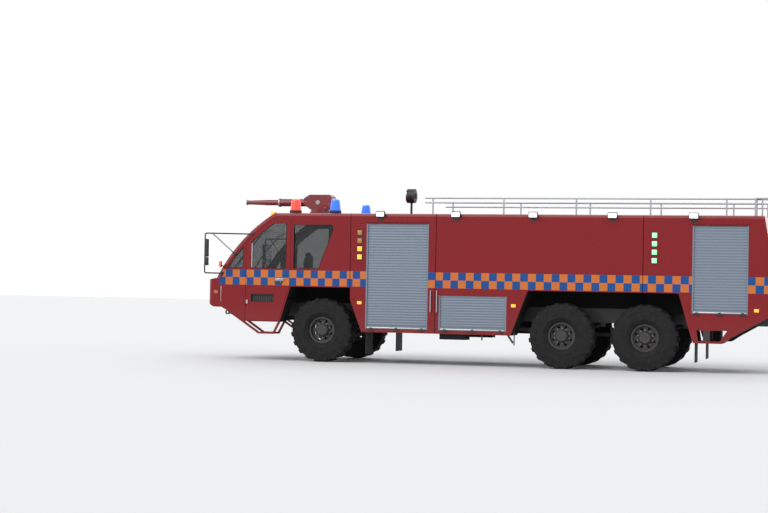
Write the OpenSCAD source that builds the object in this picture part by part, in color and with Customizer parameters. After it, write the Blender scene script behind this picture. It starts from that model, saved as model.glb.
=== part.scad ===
// Airport fire truck, six wheels, roof water cannon, roller shutter lockers.
// X runs from the nose to the tail, Y to the vehicle's right, Z up from the ground.
// Every place named ..._x is measured from the front axle.

/* [Vehicle] */
// Nose to rear panel
overall_length = 11910; // [11460:50:12460]
// Nose to front axle
front_overhang = 2570; // [2520:10:2650]
// Front axle to first rear axle
wheelbase = 5150; // [4950:10:5400]
// First rear axle to second rear axle
bogie_spacing = 1700; // [1600:10:1800]
// Width over the side panels
body_w = 3000; // [2920:10:3120]
// Ground to roof panel
roof_z = 3160; // [3100:10:3260]

/* [Wheels] */
// Outer diameter of a tyre, over its lugs
tyre_d = 1354; // [1300:2:1380]
// Width of a tyre at its widest
tyre_w = 430; // [400:2:450]
// Distance between the tyre middles of one axle
wheel_track = 2470; // [2440:2:2500]
// Bead diameter of the rim
rim_d = 524; // [500:2:560]
// Width between the rim flanges
rim_w = 270; // [240:2:300]
// Diameter of the hub spindle
spindle_d = 120; // [100:2:140]
// Height of the shoulder lugs
lug_h = 24; // [12:1:30]
// Shoulder lugs on one side of a tyre
lug_count = 20; // [12:1:24]

/* [Chassis] */
// Distance over the two frame rails
rail_span = 940; // [860:10:1000]
// Depth of a frame rail
rail_h = 300; // [240:10:320]
// Width of a rail flange
rail_w = 80; // [70:2:100]
// Thickness of the rail steel
rail_t = 10; // [8:1:14]
// Top of the rails
rail_top_z = 1250; // [1230:2:1270]
// Diameter of the axle tubes
axle_tube_d = 150; // [130:2:170]
// Kingpin distance from the middle plane
kingpin_y = 975; // [955:1:985]
// Kingpin diameter
kingpin_d = 60; // [50:1:70]
// Length of the steering arms
steer_arm = 300; // [280:2:320]
// Diameter of the tie rod
tie_rod_d = 44; // [36:1:50]

/* [Cab] */
// Radius of the curved windscreen
screen_r = 3500; // [3300:20:3800]
// Back edge of the cab
cab_rear_x = 634; // [620:1:650]
// Height where lower panels and window panels meet
belt_z = 1745; // [1730:1:1760]
// Foot of the windscreen, from the front axle
screen_foot_x = -2393; // [-2420:1:-2380]
// Front edge of the roof, from the front axle
roof_front_x = -1087; // [-1120:1:-1050]
// Joint between the nose and the cab, from the front axle
nose_joint_x = -2250; // [-2270:1:-2230]
// Thickness of cab walls and doors
wall_t = 70; // [56:1:80]
// Cab floor in front
floor_z = 1300; // [1290:1:1320]
// Cab floor over the front axle
rear_floor_z = 1670; // [1650:1:1700]
// Half width of the windscreen opening
screen_half_w = 1350; // [1300:5:1380]
// Thickness of all panes
pane_t = 8; // [6:1:12]

/* [Doors] */
// Front edge of the door, from the front axle
door_front_x = -1700; // [-1720:1:-1685]
// Rear edge of the door, from the front axle
door_rear_x = -700; // [-712:1:-696]
// Bottom edge of the door
door_sill_z = 850; // [846:1:870]
// Gap round a door or lid
door_gap = 6; // [5:1:10]
// Diameter of a hinge barrel
hinge_d = 28; // [24:1:32]

/* [Wheel arches] */
// Top of the arches
arch_top_z = 1590; // [1570:2:1600]
// Bottom edge of the side lockers
locker_bottom_z = 660; // [640:5:690]
// Inner face of the side lockers from the middle plane
locker_inner_y = 780; // [700:5:800]

/* [Body] */
// Length of the pump and locker section behind the cab
locker_len = 1850; // [1800:5:1900]
// Seam between two body sections
seam_w = 12; // [8:1:16]
// Height of one shutter slat
slat_h = 55; // [45:1:70]
// Depth of a shutter opening
shutter_inset = 34; // [26:1:44]
// Room in the rear section in front of the engine
engine_front_room = 516; // [460:4:600]
// Room between the engine and the tail
engine_tail_room = 560; // [500:10:640]
// Top of the engine
engine_top_z = 1980; // [1900:10:2040]
// Half width of the engine
engine_half_w = 340; // [300:5:380]
// Half width of the roof walkway
walkway_half_w = 840; // [760:10:860]
// Thickness of the walkway plate
walkway_t = 4; // [3:1:6]
// Radius of the roof edges
roof_edge_r = 60; // [40:2:80]

/* [Water cannon] */
// Swivel axis of the water cannon, from the front axle
cannon_x = -540; // [-560:1:-520]
// Height of the tilt axis
cannon_tilt_z = 3460; // [3440:1:3480]
// Reach of the nozzle in front of the swivel axis
cannon_reach = 1730; // [1650:5:1800]
// Largest diameter of the barrel
cannon_d = 170; // [140:2:180]

/* [Roof gear] */
// Top rail of the roof railing
railing_z = 3520; // [3480:5:3560]
// Railing distance from the middle plane
railing_y = 900; // [850:5:1000]
// Diameter of railing and ladder tubes
railing_d = 34; // [28:1:42]
// Front post of the roof railing, from the front axle
railing_front_x = 2270; // [2230:5:2300]
// Distance between two railing posts
railing_pitch = 1533; // [1450:1:1600]
// First flood lamp, from the front axle
flood_x = 1300; // [1250:5:1350]
// Distance between two flood lamps
flood_pitch = 1628; // [1580:2:1660]
// How far the rear ladder stands off the rear panel
ladder_off = 110; // [90:5:130]
// Ladder's middle from the side panel
ladder_in = 550; // [500:10:640]

/* [Hidden] */
$fn = 48;

half_w = body_w / 2;
tail_x = overall_length - front_overhang;
ladder_out = ladder_off + railing_d / 2;
wheel_z = tyre_d / 2;
wheel_y = wheel_track / 2;
rear_axle_xs = [wheelbase, wheelbase + bogie_spacing];
last_axle_x = wheelbase + bogie_spacing;
rail_y = (rail_span - rail_w) / 2;
rail_bottom_z = rail_top_z - rail_h;
rail_front_x = nose_joint_x + 30;
rail_rear_x = tail_x - 120;

// Seams between the body sections
locker_x = cab_rear_x + seam_w;
locker_end_x = locker_x + locker_len;
tank_x = locker_end_x + seam_w;
tank_end_x = last_axle_x - 48;
rear_x = tank_end_x + seam_w;
engine_x = rear_x + engine_front_room;
engine_end_x = tail_x - engine_tail_room;
bay_front_x = engine_x - 330;

// Wheel arches: front axle and bogie, each as [top x, bottom x] of a sloping edge
arch_foot_z = 700;
arch_bend_z = 1330;
front_arch_front = [-685, -956];
front_arch_rear = [640, 896];
bogie_arch_front = [wheelbase - 690, wheelbase - 1024];
bogie_arch_rear = [last_axle_x + 676, last_axle_x + 937];

// X at a share of the side panel between the bogie arch and the tail
function behind(share) = bogie_arch_rear[1] + share * (tail_x - bogie_arch_rear[1]);

// Circle of the windscreen through its foot and the front edge of the roof
screen_a = [screen_foot_x, belt_z];
screen_b = [roof_front_x, roof_z];
screen_chord = screen_b - screen_a;
screen_unit = screen_chord / norm(screen_chord);
screen_drop = sqrt(screen_r * screen_r - norm(screen_chord) * norm(screen_chord) / 4);
screen_c = (screen_a + screen_b) / 2 + screen_drop * [screen_unit[1], -screen_unit[0]];

// Hinges
hinge_off = hinge_d / 2 + 2;
hinge_pin_d = hinge_d / 2;
door_hinge_x = door_front_x - door_gap / 2;
hinge_h = 120;
hinge_lug_h = 22;
running_gap = 0.05;
seat_gap = 0.3;

red = [0.62, 0.05, 0.07];
black = [0.08, 0.08, 0.09];
grey = [0.62, 0.63, 0.65];
steel = [0.35, 0.36, 0.38];
glass = [0.35, 0.45, 0.5, 0.5];

// Moves a drawing whose X starts at the front axle to the middle of the vehicle
module truck() translate([-(tail_x + ladder_out - front_overhang) / 2, 0, 0]) children();

// Outline in X and Z, as a slab between two Y planes
module slab(y0, y1) rotate([90, 0, 0]) translate([0, 0, -y1]) linear_extrude(y1 - y0) children();

// Outline in Y and Z, as a beam between two X planes
module beam(x0, x1) translate([x0, 0, 0]) rotate([90, 0, 90]) linear_extrude(x1 - x0) children();

// Block between two corners
module block(a, b) translate(a) cube(b - a);

// Block between two corners on the right side and its mirror image on the left
module block_pair(a, b) both_sides() block(a, b);

module both_sides() {
  children();
  mirror([0, 1, 0]) children();
}

// Draws a right-hand piece on the chosen side, -1 for left
module on_side(side) mirror([0, side < 0 ? 1 : 0, 0]) children();

// Round bar between two points
module rod(p, q, d) {
  v = q - p;
  translate(p) rotate([0, acos(v[2] / norm(v)), atan2(v[1], v[0])]) cylinder(h = norm(v), d = d);
}

// Round disc whose axis lies along Y, from y0 to y1
module disc_y(x, z, y0, y1, d) translate([x, y0, z]) rotate([-90, 0, 0]) cylinder(h = y1 - y0, d = d);

// Unit vector across the path at corner i, drawn out so that the strip keeps its width
function across(path, i) =
  let (last = len(path) - 1, a = path[max(i, 1)] - path[max(i, 1) - 1],
    b = path[min(i + 1, last)] - path[min(i, last - 1)], m = a / norm(a) + b / norm(b))
    [-m[1], m[0]] * 2 / (m * m);

// Strip of width w along a path of corners
module strip(path, w) polygon(concat(
  [for (i = [0:len(path) - 1]) path[i] + across(path, i) * w / 2],
  [for (i = [len(path) - 1:-1:0]) path[i] - across(path, i) * w / 2]
));

// X of a sloping arch edge at height z
function arch_x(edge, z) = edge[0] + (edge[1] - edge[0]) * (arch_top_z - z) / (arch_top_z - arch_foot_z);

// X of the windscreen circle, drawn in by t, at height z
function screen_x(z, t) = screen_c[0] - sqrt(pow(screen_r - t, 2) - pow(z - screen_c[1], 2));

// Disc of the windscreen circle, drawn in by t
module screen_disc(t) translate(screen_c) circle(r = screen_r - t, $fn = 720);

// Hinge about Z, panels below it in Y: pin between two lugs on the fixed side, at -X
module hinge_fixed() {
  cylinder(h = hinge_h + 2 * hinge_lug_h, d = hinge_pin_d, center = true);
  for (s = [-1, 1]) translate([0, 0, s * (hinge_h / 2 + hinge_lug_h / 2 + 0.5) - hinge_lug_h / 2]) {
    cylinder(h = hinge_lug_h, d = hinge_d);
    block([-60, -hinge_off, 0], [-4, -4, hinge_lug_h]);
  }
}

// Barrel and leaf on the moving side, at +X
module hinge_moving() difference() {
  union() {
    cylinder(h = hinge_h, d = hinge_d, center = true);
    block([4, -hinge_off, -hinge_h / 2], [70, -4, hinge_h / 2]);
  }
  cylinder(h = hinge_h + 2, d = hinge_pin_d + 2 * running_gap, center = true);
}

// Chassis: two channel rails with front towing eyes, and cross members between them

cross_xs = [-1900, -1050, 700, 2350, 3600, wheelbase - 600, last_axle_x - bogie_spacing / 2,
  engine_x - 180, tail_x - 350];
cross_w = 120;
eye_d = 50;
eye_x = -front_overhang + 55;
eye_z = rail_bottom_z + 50;

module rail_channel() {
  y1 = rail_span / 2;
  difference() {
    translate([y1 - rail_w, rail_bottom_z]) square([rail_w, rail_h]);
    translate([y1 - rail_w - 1, rail_bottom_z + rail_t]) square([rail_w - rail_t + 1, rail_h - 2 * rail_t]);
  }
}

module cross_members() truck() color(steel) for (x = cross_xs)
  block([x, -rail_span / 2 + rail_t, rail_bottom_z + 60],
    [x + cross_w, rail_span / 2 - rail_t, rail_top_z - 60]);

module chassis_frame() truck() color(steel) {
  both_sides() beam(rail_front_x, rail_rear_x) rail_channel();
  // Towing eyes under the nose, carried by the rail ends
  both_sides() difference() {
    union() {
      block([eye_x, rail_y - 20, eye_z - 40], [rail_front_x + 200, rail_y + 20, eye_z + 40]);
      disc_y(eye_x, eye_z, rail_y - 20, rail_y + 20, 100);
    }
    disc_y(eye_x, eye_z, rail_y - 30, rail_y + 30, eye_d);
  }
}

// Axles, with their springs and hangers

spring_half = 720;
spring_rise = 90;
leaf_t = 28;
spring_w = 76;
hanger_w = 90;
fork_in_y = kingpin_y - 70;
fork_half = 110;
fork_t = 35;

// Three leaves of an arc, shorter towards the axle, from the top of the axle tube
module spring_pack(x) {
  base_z = wheel_z + axle_tube_d / 2;
  leaf_r = (spring_half * spring_half + spring_rise * spring_rise) / (2 * spring_rise);
  for (i = [0:2]) slab(rail_y - spring_w / 2, rail_y + spring_w / 2) intersection() {
    difference() {
      translate([x, base_z + leaf_r + i * leaf_t]) circle(r = leaf_r, $fn = 180);
      translate([x, base_z + leaf_r + i * leaf_t]) circle(r = leaf_r - leaf_t, $fn = 180);
    }
    translate([x - spring_half * (i + 1) / 3, base_z - 10])
      square([2 * spring_half * (i + 1) / 3, spring_rise + 4 * leaf_t + 10]);
  }
  // Clamp plate and hangers up to the rail
  for (s = [-1, 1])
    block([x + s * spring_half - hanger_w / 2, rail_y - rail_w / 2, base_z + spring_rise + leaf_t],
      [x + s * spring_half + hanger_w / 2, rail_y + rail_w / 2, rail_bottom_z]);
  block([x - 70, rail_y - 55, wheel_z + 20], [x + 70, rail_y + 55, base_z + 3 * leaf_t + 16]);
}

// Brake drum on the inner side of a wheel, clear of the turning hub
drum_d = 420;

module brake_drum(x) disc_y(x, wheel_z, wheel_y - rim_w / 2 + 5, wheel_y - 45, drum_d);

// Beam with its differential housing, as far out as end_y
module axle_beam(x, end_y) {
  disc_y(x, wheel_z, -end_y, end_y, axle_tube_d);
  translate([x - 120, 0, wheel_z]) rotate([0, 90, 0]) cylinder(h = 240, d = 400);
  translate([x + 100, 0, wheel_z + 30]) rotate([0, 90, 0]) cylinder(h = 90, d1 = 260, d2 = 150);
}

module front_axle() truck() color(steel) {
  axle_beam(0, fork_in_y - 40);
  both_sides() {
    spring_pack(0);
    // Fork that holds the kingpin above and below
    difference() {
      union() {
        block([-55, fork_in_y - 50, wheel_z - fork_half - fork_t],
          [55, fork_in_y, wheel_z + fork_half + fork_t]);
        for (s = [-1, 1]) translate([0, 0, wheel_z + s * (fork_half + fork_t / 2) - fork_t / 2]) {
          block([-55, fork_in_y - 50, 0], [55, kingpin_y, fork_t]);
          translate([0, kingpin_y, 0]) cylinder(h = fork_t, d = 110);
        }
      }
      translate([0, kingpin_y, wheel_z - fork_half - fork_t - 1])
        cylinder(h = 2 * (fork_half + fork_t) + 2, d = kingpin_d + 2 * running_gap);
    }
  }
}

module rear_axles() truck() color(steel) for (x = rear_axle_xs) {
  axle_beam(x, wheel_y - rim_w / 2 - 20);
  both_sides() {
    spring_pack(x);
    disc_y(x, wheel_z, wheel_y - rim_w / 2 - 20, spindle_end_y, spindle_d);
    brake_drum(x);
  }
}

// Steering knuckles, arms and tie rod

spindle_end_y = wheel_y + 40;
arm_z = wheel_z - 72;
arm_t = 40;

module knuckle(side) truck() on_side(side) color(steel) {
  pin_len = 2 * (fork_half + fork_t);
  difference() {
    union() {
      translate([0, kingpin_y, wheel_z - pin_len / 2]) cylinder(h = pin_len, d = kingpin_d);
      translate([0, kingpin_y, wheel_z - fork_half + 1]) cylinder(h = 2 * fork_half - 2, d = 120);
      disc_y(0, wheel_z, kingpin_y, spindle_end_y, spindle_d);
      brake_drum(0);
      block([0, kingpin_y - 22, arm_z - arm_t / 2], [steer_arm, kingpin_y + 22, arm_z + arm_t / 2]);
      translate([steer_arm, kingpin_y, arm_z - arm_t / 2]) cylinder(h = arm_t, d = 50);
    }
    translate([steer_arm, kingpin_y, arm_z - arm_t / 2 - 1])
      cylinder(h = arm_t + 2, d = 20 + 2 * running_gap);
  }
}

module knuckle_left() knuckle(-1);
module knuckle_right() knuckle(1);

// Tie rod below the arms, with a pin up into each
module tie_rod() truck() color(steel) {
  rod_z = arm_z - arm_t / 2 - tie_rod_d / 2 - 1;
  disc_y(steer_arm, rod_z, -kingpin_y - 24, kingpin_y + 24, tie_rod_d);
  both_sides() translate([steer_arm, kingpin_y, rod_z])
    cylinder(h = tie_rod_d / 2 + arm_t + 1, d = 20);
}

// Drive line: transfer box, shafts to the front axle and to both rear axles

transfer_x = 2560;
transfer_len = 420;
transfer_z = 930;

module drive_line() truck() color(steel) {
  flange_z = wheel_z + 30;
  block([transfer_x, -220, transfer_z - 210], [transfer_x + transfer_len, 220, transfer_z + 190]);
  block([transfer_x + 60, -rail_span / 2 + rail_t, transfer_z + 60],
    [transfer_x + 160, rail_span / 2 - rail_t, transfer_z + 140]);
  for (x = [190, wheelbase - 145, wheelbase + 190, last_axle_x - 145])
    translate([x, 0, flange_z]) rotate([0, 90, 0]) cylinder(h = 25, d = 150);
  rod([205, 0, flange_z], [transfer_x, 0, transfer_z - 60], 90);
  rod([transfer_x + transfer_len, 0, transfer_z - 60], [wheelbase - 130, 0, flange_z], 110);
  rod([wheelbase + 200, 0, flange_z], [last_axle_x - 130, 0, flange_z], 90);
}

// Engine behind the bogie, one block with its gearbox ahead of it

foot_len = 110;

module engine_block() truck() color(steel) {
  block([engine_x, -engine_half_w, rail_bottom_z + 20], [engine_end_x, engine_half_w, engine_top_z]);
  for (x = [engine_x + 150, engine_end_x - 140 - foot_len])
    block_pair([x, engine_half_w, rail_bottom_z + 100],
      [x + foot_len, rail_span / 2 - rail_t, rail_bottom_z + 180]);
}

// Wheels

hub_d = 270;
disc_out = 55;
flange_h = 18;
flange_t = 12;

// Tyre section as [radius, offset from the middle of the tread]
module tyre(x, side) truck() on_side(side) color(black) {
  tread_half = tyre_w / 2 - 30;
  base_r = tyre_d / 2 - lug_h;
  bead_r = rim_d / 2 + seat_gap;
  seat_w = rim_w / 2 - flange_t - seat_gap;
  section = [
    [bead_r, -seat_w], [bead_r + flange_h, -seat_w], [bead_r + flange_h, -seat_w - 14],
    [bead_r + 110, -tyre_w / 2 + 8],
    [bead_r + 190, -tyre_w / 2], [base_r - 70, -tyre_w / 2 + 6], [base_r - 8, -tread_half],
    [base_r + 4, -tread_half * 0.6], [base_r + 4, tread_half * 0.6], [base_r - 8, tread_half],
    [base_r - 70, tyre_w / 2 - 6], [bead_r + 190, tyre_w / 2], [bead_r + 110, tyre_w / 2 - 8],
    [bead_r + flange_h, seat_w + 14], [bead_r + flange_h, seat_w], [bead_r, seat_w]
  ];
  translate([x, wheel_y, wheel_z]) rotate([-90, 0, 0]) {
    rotate_extrude($fn = 48) polygon(section);
    for (i = [0:lug_count - 1], s = [-1, 1])
      rotate([0, 0, (i + (s + 1) / 4) * 360 / lug_count])
        intersection() {
          translate([base_r - 70, -45, s > 0 ? 12 : -tread_half - 14])
            cube([70 + lug_h, 90, tread_half + 2]);
          cylinder(h = tyre_w, r = tyre_d / 2, center = true);
        }
  }
}

// Rim section as [radius, offset]: barrel, flanges, disc and hub
module rim(x, side) truck() on_side(side) color(grey) {
  barrel_r = rim_d / 2;
  half = rim_w / 2;
  bore_r = spindle_d / 2 + running_gap;
  section = [
    [bore_r, -40], [hub_d / 2, -40], [hub_d / 2, disc_out - 20], [barrel_r - 16, disc_out - 20],
    [barrel_r - 16, -half], [barrel_r + flange_h, -half], [barrel_r + flange_h, -half + flange_t],
    [barrel_r, -half + flange_t], [barrel_r, half - flange_t], [barrel_r + flange_h, half - flange_t],
    [barrel_r + flange_h, half], [barrel_r - 16, half], [barrel_r - 16, disc_out],
    [hub_d / 2, disc_out], [hub_d / 2, half - 10], [hub_d / 2 - 30, half + 20], [0, half + 20],
    [0, disc_out - 10], [bore_r, disc_out - 10]
  ];
  translate([x, wheel_y, wheel_z]) rotate([-90, 0, 0]) difference() {
    rotate_extrude($fn = 96) polygon(section);
    for (i = [0:7]) rotate([0, 0, i * 45 + 22.5]) translate([(hub_d / 2 + barrel_r - 16) / 2, 0, 0])
      cylinder(h = half, d = 60);
  }
}

module tyre_front_left() tyre(0, -1);
module tyre_front_right() tyre(0, 1);
module rim_front_left() rim(0, -1);
module rim_front_right() rim(0, 1);
module tyre_middle_left() tyre(wheelbase, -1);
module tyre_middle_right() tyre(wheelbase, 1);
module rim_middle_left() rim(wheelbase, -1);
module rim_middle_right() rim(wheelbase, 1);
module tyre_rear_left() tyre(last_axle_x, -1);
module tyre_rear_right() tyre(last_axle_x, 1);
module rim_rear_left() rim(last_axle_x, -1);
module rim_rear_right() rim(last_axle_x, 1);

// Cab

pod_inner_y = 1040;
pod_bottom_z = 830;
chin_z = 1125;
chin_x = -1700;
well_front_x = -1640;
well_rear_x = -1010;
step_x = -760;
floor_t = 50;
splash_t = 30;
screen_low_z = belt_z + 90;
screen_high_z = roof_z - 110;

// Slanting rear edge of the rear window: x at its foot, at the bend and at its top
window_rear_xs = [-60, 261, 236];

module window_band(t) intersection() {
  screen_disc(t);
  translate([screen_foot_x - 100, belt_z])
    square([cab_rear_x - screen_foot_x + 100, roof_z - belt_z]);
}

module lower_cab() polygon([
  [nose_joint_x, belt_z], [nose_joint_x, chin_z], [chin_x, pod_bottom_z],
  [arch_x(front_arch_front, pod_bottom_z), pod_bottom_z], [front_arch_front[0], arch_top_z],
  [cab_rear_x, arch_top_z], [cab_rear_x, belt_z]
]);

// Hollow of the cab, front floor low and rear floor over the axle
module cabin_outline() intersection() {
  screen_disc(wall_t);
  polygon([
    [nose_joint_x + 60, floor_z], [step_x, floor_z], [step_x, rear_floor_z],
    [cab_rear_x - wall_t, rear_floor_z], [cab_rear_x - wall_t, roof_z - wall_t],
    [screen_foot_x - 50, roof_z - wall_t], [screen_foot_x - 50, belt_z + 55],
    [nose_joint_x + 60, belt_z + 55]
  ]);
}

// Door outline, drawn out by g
module door_outline(g) {
  low_x = arch_x(front_arch_front, door_sill_z) - 34;
  intersection() {
    screen_disc(115 - g);
    polygon([
      [door_front_x - g, door_sill_z - g], [low_x + g, door_sill_z - g],
      [front_arch_front[0] - 34 + g, arch_top_z], [door_rear_x + g, arch_top_z + 60],
      [door_rear_x + g, roof_z - 130 + g], [door_front_x - g, roof_z - 130 + g]
    ]);
  }
}

// Windows, each drawn in by t: door, quarter and rear
module door_window(t) intersection() {
  screen_disc(190 + t);
  translate([door_front_x + 110 + t, belt_z + 222 + t])
    square([door_rear_x - door_front_x - 200 - 2 * t, roof_z - belt_z - 438 - 2 * t]);
}

module quarter_window(t) intersection() {
  screen_disc(125 + t);
  polygon([
    [screen_foot_x, belt_z + 226 + t], [door_front_x - 62 - t, belt_z + 226 + t],
    [door_front_x - 62 - t, roof_z], [screen_foot_x, roof_z]
  ]);
}

module rear_window(t) polygon([
  [door_rear_x + 70 + t, belt_z + 230 + t], [window_rear_xs[0] - t, belt_z + 230 + t],
  [window_rear_xs[1] - t, roof_z - 330], [window_rear_xs[2] - t, roof_z - 246 - t],
  [door_rear_x + 70 + t, roof_z - 246 - t]
]);

// Windscreen opening, drawn in by t, between two depths of the curve
module screen_band(t, out, deep) intersection() {
  difference() {
    screen_disc(out);
    screen_disc(deep);
  }
  translate([screen_foot_x - 100, screen_low_z + t])
    square([roof_front_x - screen_foot_x + 200, screen_high_z - screen_low_z - 2 * t]);
}

// Rounded pillars and roof edges, as a body turned about the windscreen's axis
module cab_envelope() {
  edge = 70;
  translate([screen_c[0], 0, screen_c[1]]) rotate([-90, 0, 0]) rotate_extrude($fn = 720) polygon([
    [0, -half_w], [screen_r - edge, -half_w], [screen_r + 1, -half_w + edge],
    [screen_r + 1, half_w - edge], [screen_r - edge, half_w], [0, half_w]
  ]);
}

module roof_section(z0) {
  e = roof_edge_r;
  polygon([
    [-half_w, z0], [half_w, z0], [half_w, roof_z - e], [half_w - e * 0.3, roof_z - e * 0.3],
    [half_w - e, roof_z], [-half_w + e, roof_z], [-half_w + e * 0.3, roof_z - e * 0.3],
    [-half_w, roof_z - e]
  ]);
}

module cab_body() truck() color(red) {
  difference() {
    union() {
      intersection() {
        slab(-half_w - 1, half_w + 1) window_band(0);
        cab_envelope();
        beam(-front_overhang, cab_rear_x + 1) roof_section(0);
      }
      slab(-half_w, half_w) lower_cab();
    }
    block([nose_joint_x - 1, -pod_inner_y, 0], [step_x, pod_inner_y, floor_z - floor_t]);
    slab(-half_w + wall_t, half_w - wall_t) cabin_outline();
    block_pair([well_front_x, pod_inner_y + 40, pod_bottom_z + 50],
      [well_rear_x, half_w - wall_t, floor_z + 1]);
    both_sides() {
      slab(half_w - wall_t - 1, half_w + 1) door_outline(door_gap);
      slab(half_w - wall_t - 1, half_w + 1) quarter_window(0);
      slab(half_w - wall_t - 1, half_w + 1) rear_window(0);
    }
    slab(-screen_half_w, screen_half_w) screen_band(0, -40, wall_t + 30);
  }
  // Splash walls on the rails over the axle
  block_pair([step_x, rail_span / 2 - splash_t, rail_top_z], [cab_rear_x, rail_span / 2, arch_top_z + 1]);
  both_sides() for (z = door_hinge_zs)
    translate([door_hinge_x, half_w + hinge_off, z]) hinge_fixed();
}

module cab_glass() truck() color(glass) {
  both_sides() {
    slab(half_w - 40, half_w - 40 + pane_t) quarter_window(seat_gap);
    slab(half_w - 40, half_w - 40 + pane_t) rear_window(seat_gap);
  }
  slab(-screen_half_w + seat_gap, screen_half_w - seat_gap) screen_band(seat_gap, 12, 12 + pane_t);
}

// Doors with a hinge barrel round each pin, a step recess and a handle

door_hinge_zs = [door_sill_z + 400, belt_z + 135];

// Foothold and handle of a door, as [x0, x1, z0, z1]
foothold = [door_front_x + 120, door_rear_x - 360, door_sill_z + 400, door_sill_z + 570];
handle = [door_rear_x - 350, door_rear_x - 210, belt_z - 75, belt_z + 5];

module door(side) truck() on_side(side) color(red) {
  difference() {
    slab(half_w - wall_t + 3, half_w) door_outline(0);
    slab(half_w - wall_t - 1, half_w + 1) door_window(0);
    block([foothold[0], half_w - 45, foothold[2]], [foothold[1], half_w + 1, foothold[3]]);
  }
  for (z = door_hinge_zs) translate([door_hinge_x, half_w + hinge_off, z]) hinge_moving();
  block([handle[0], half_w, handle[2]], [handle[1], half_w + 22, handle[3]]);
}

module door_left() door(-1);
module door_right() door(1);

module door_glass(side) truck() on_side(side) color(glass)
  slab(half_w - 40, half_w - 40 + pane_t) door_window(seat_gap);

module door_glass_left() door_glass(-1);
module door_glass_right() door_glass(1);

// Inside the cab

chair_w = 500;
cushion_z = 300;
cushion_t = 130;
back_t = 110;
back_h = 650;
pedestal_w = 360;
pedestal_back = 60;
front_seat_y = 780;
front_seat_x = door_rear_x - 300;
rear_seat_y = 900;
rear_seat_x = cab_rear_x - 334;

// Seats as [x of the back of the cushion, y of the middle, height of the floor below]
seat_table = concat(
  [for (s = [-1, 1]) [front_seat_x, s * front_seat_y, floor_z]],
  [for (s = [-1:1]) [rear_seat_x, s * rear_seat_y, rear_floor_z]]
);

module seats() truck() color([0.2, 0.21, 0.23]) for (s = seat_table) translate([s[0], s[1], s[2]]) {
  block([-chair_w, -chair_w / 2, cushion_z], [0, chair_w / 2, cushion_z + cushion_t]);
  block([-back_t, -chair_w / 2, cushion_z + cushion_t], [0, chair_w / 2, cushion_z + cushion_t + back_h]);
  block([-pedestal_back - pedestal_w, -pedestal_w / 2, 0], [-pedestal_back, pedestal_w / 2, cushion_z]);
}

dash_x = nose_joint_x + 60;
dash_h = 510;
dash_shelf = 230;
wheel_place = [dash_x + 370, front_seat_y, floor_z + dash_h + 50];
wheel_r = 215;

module dashboard() truck() color(black) {
  slab(-half_w + wall_t, half_w - wall_t) polygon([
    [dash_x, floor_z], [dash_x + dash_shelf - 120, floor_z],
    [dash_x + dash_shelf - 50, floor_z + dash_h - 180],
    [dash_x + dash_shelf, floor_z + dash_h - 40], [dash_x, floor_z + dash_h]
  ]);
  // Steering column and wheel
  rod([dash_x + 130, wheel_place[1], floor_z + dash_h - 180], wheel_place, 60);
  translate(wheel_place) rotate([0, 46, 0]) {
    rotate_extrude($fn = 48) translate([wheel_r, 0]) circle(d = 36, $fn = 16);
    cylinder(h = 30, d = 130, center = true);
    for (a = [0, 120, 240]) rotate([0, 0, a]) block([0, -18, -8], [wheel_r, 18, 8]);
  }
}

// Nose, headlamps, mirrors and entrance steps

nose_r = 150;
nose_top_z = 1710;
nose_low_z = 1200;

// Nose seen from above, with round corners, drawn out by g
module nose_plan(g = 0) {
  x0 = -front_overhang;
  translate([x0 + nose_r, -half_w - g]) square([nose_joint_x - x0 - nose_r, body_w + 2 * g]);
  translate([x0 - g, -half_w + nose_r]) square([nose_joint_x - x0 + g, body_w - 2 * nose_r]);
  for (s = [-1, 1]) translate([x0 + nose_r, s * (half_w - nose_r)]) circle(r = nose_r + g, $fn = 96);
}

module nose_outline() polygon([
  [-front_overhang - 1, nose_low_z], [-front_overhang - 1, nose_top_z], [screen_foot_x, belt_z],
  [nose_joint_x, belt_z], [nose_joint_x, chin_z], [-front_overhang + 140, chin_z + 2]
]);

lamp_y = 1060;
lamp_z = 1450;
lamp_d = 190;

module nose_panel() truck() color(red) difference() {
  intersection() {
    slab(-half_w - 1, half_w + 1) nose_outline();
    translate([0, 0, chin_z - 1]) linear_extrude(belt_z - chin_z + 2) nose_plan();
  }
  both_sides() for (dy = [0, 230])
    translate([-front_overhang - 1, lamp_y - dy, lamp_z]) rotate([0, 90, 0]) cylinder(h = 61, d = lamp_d + 2);
}

module headlamps() truck() color([0.9, 0.9, 0.88]) both_sides() for (dy = [0, 230])
  translate([-front_overhang + 4, lamp_y - dy, lamp_z]) rotate([0, 90, 0]) cylinder(h = 55.7, d = lamp_d);

mirror_y = half_w + 400;
mirror_x = -front_overhang + 78;
mirror_top_z = 2700;
mirror_low_z = 1850;
mirror_turn = 20;
mirror_w = 250;
mirror_t = 65;
mirror_tube_d = 28;
mirror_foot_in = 90;
brace_z = 2270;
brace_share = 0.15;

// Mirror heads of one side as [bottom, top]
mirror_heads = [[2011, 2185], [2195, 2574]];

// Foot of a mirror arm on the side panel, just behind the windscreen's edge
function mirror_foot(z) = [screen_x(z, mirror_foot_in), half_w + mirror_tube_d / 2, z];

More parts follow.
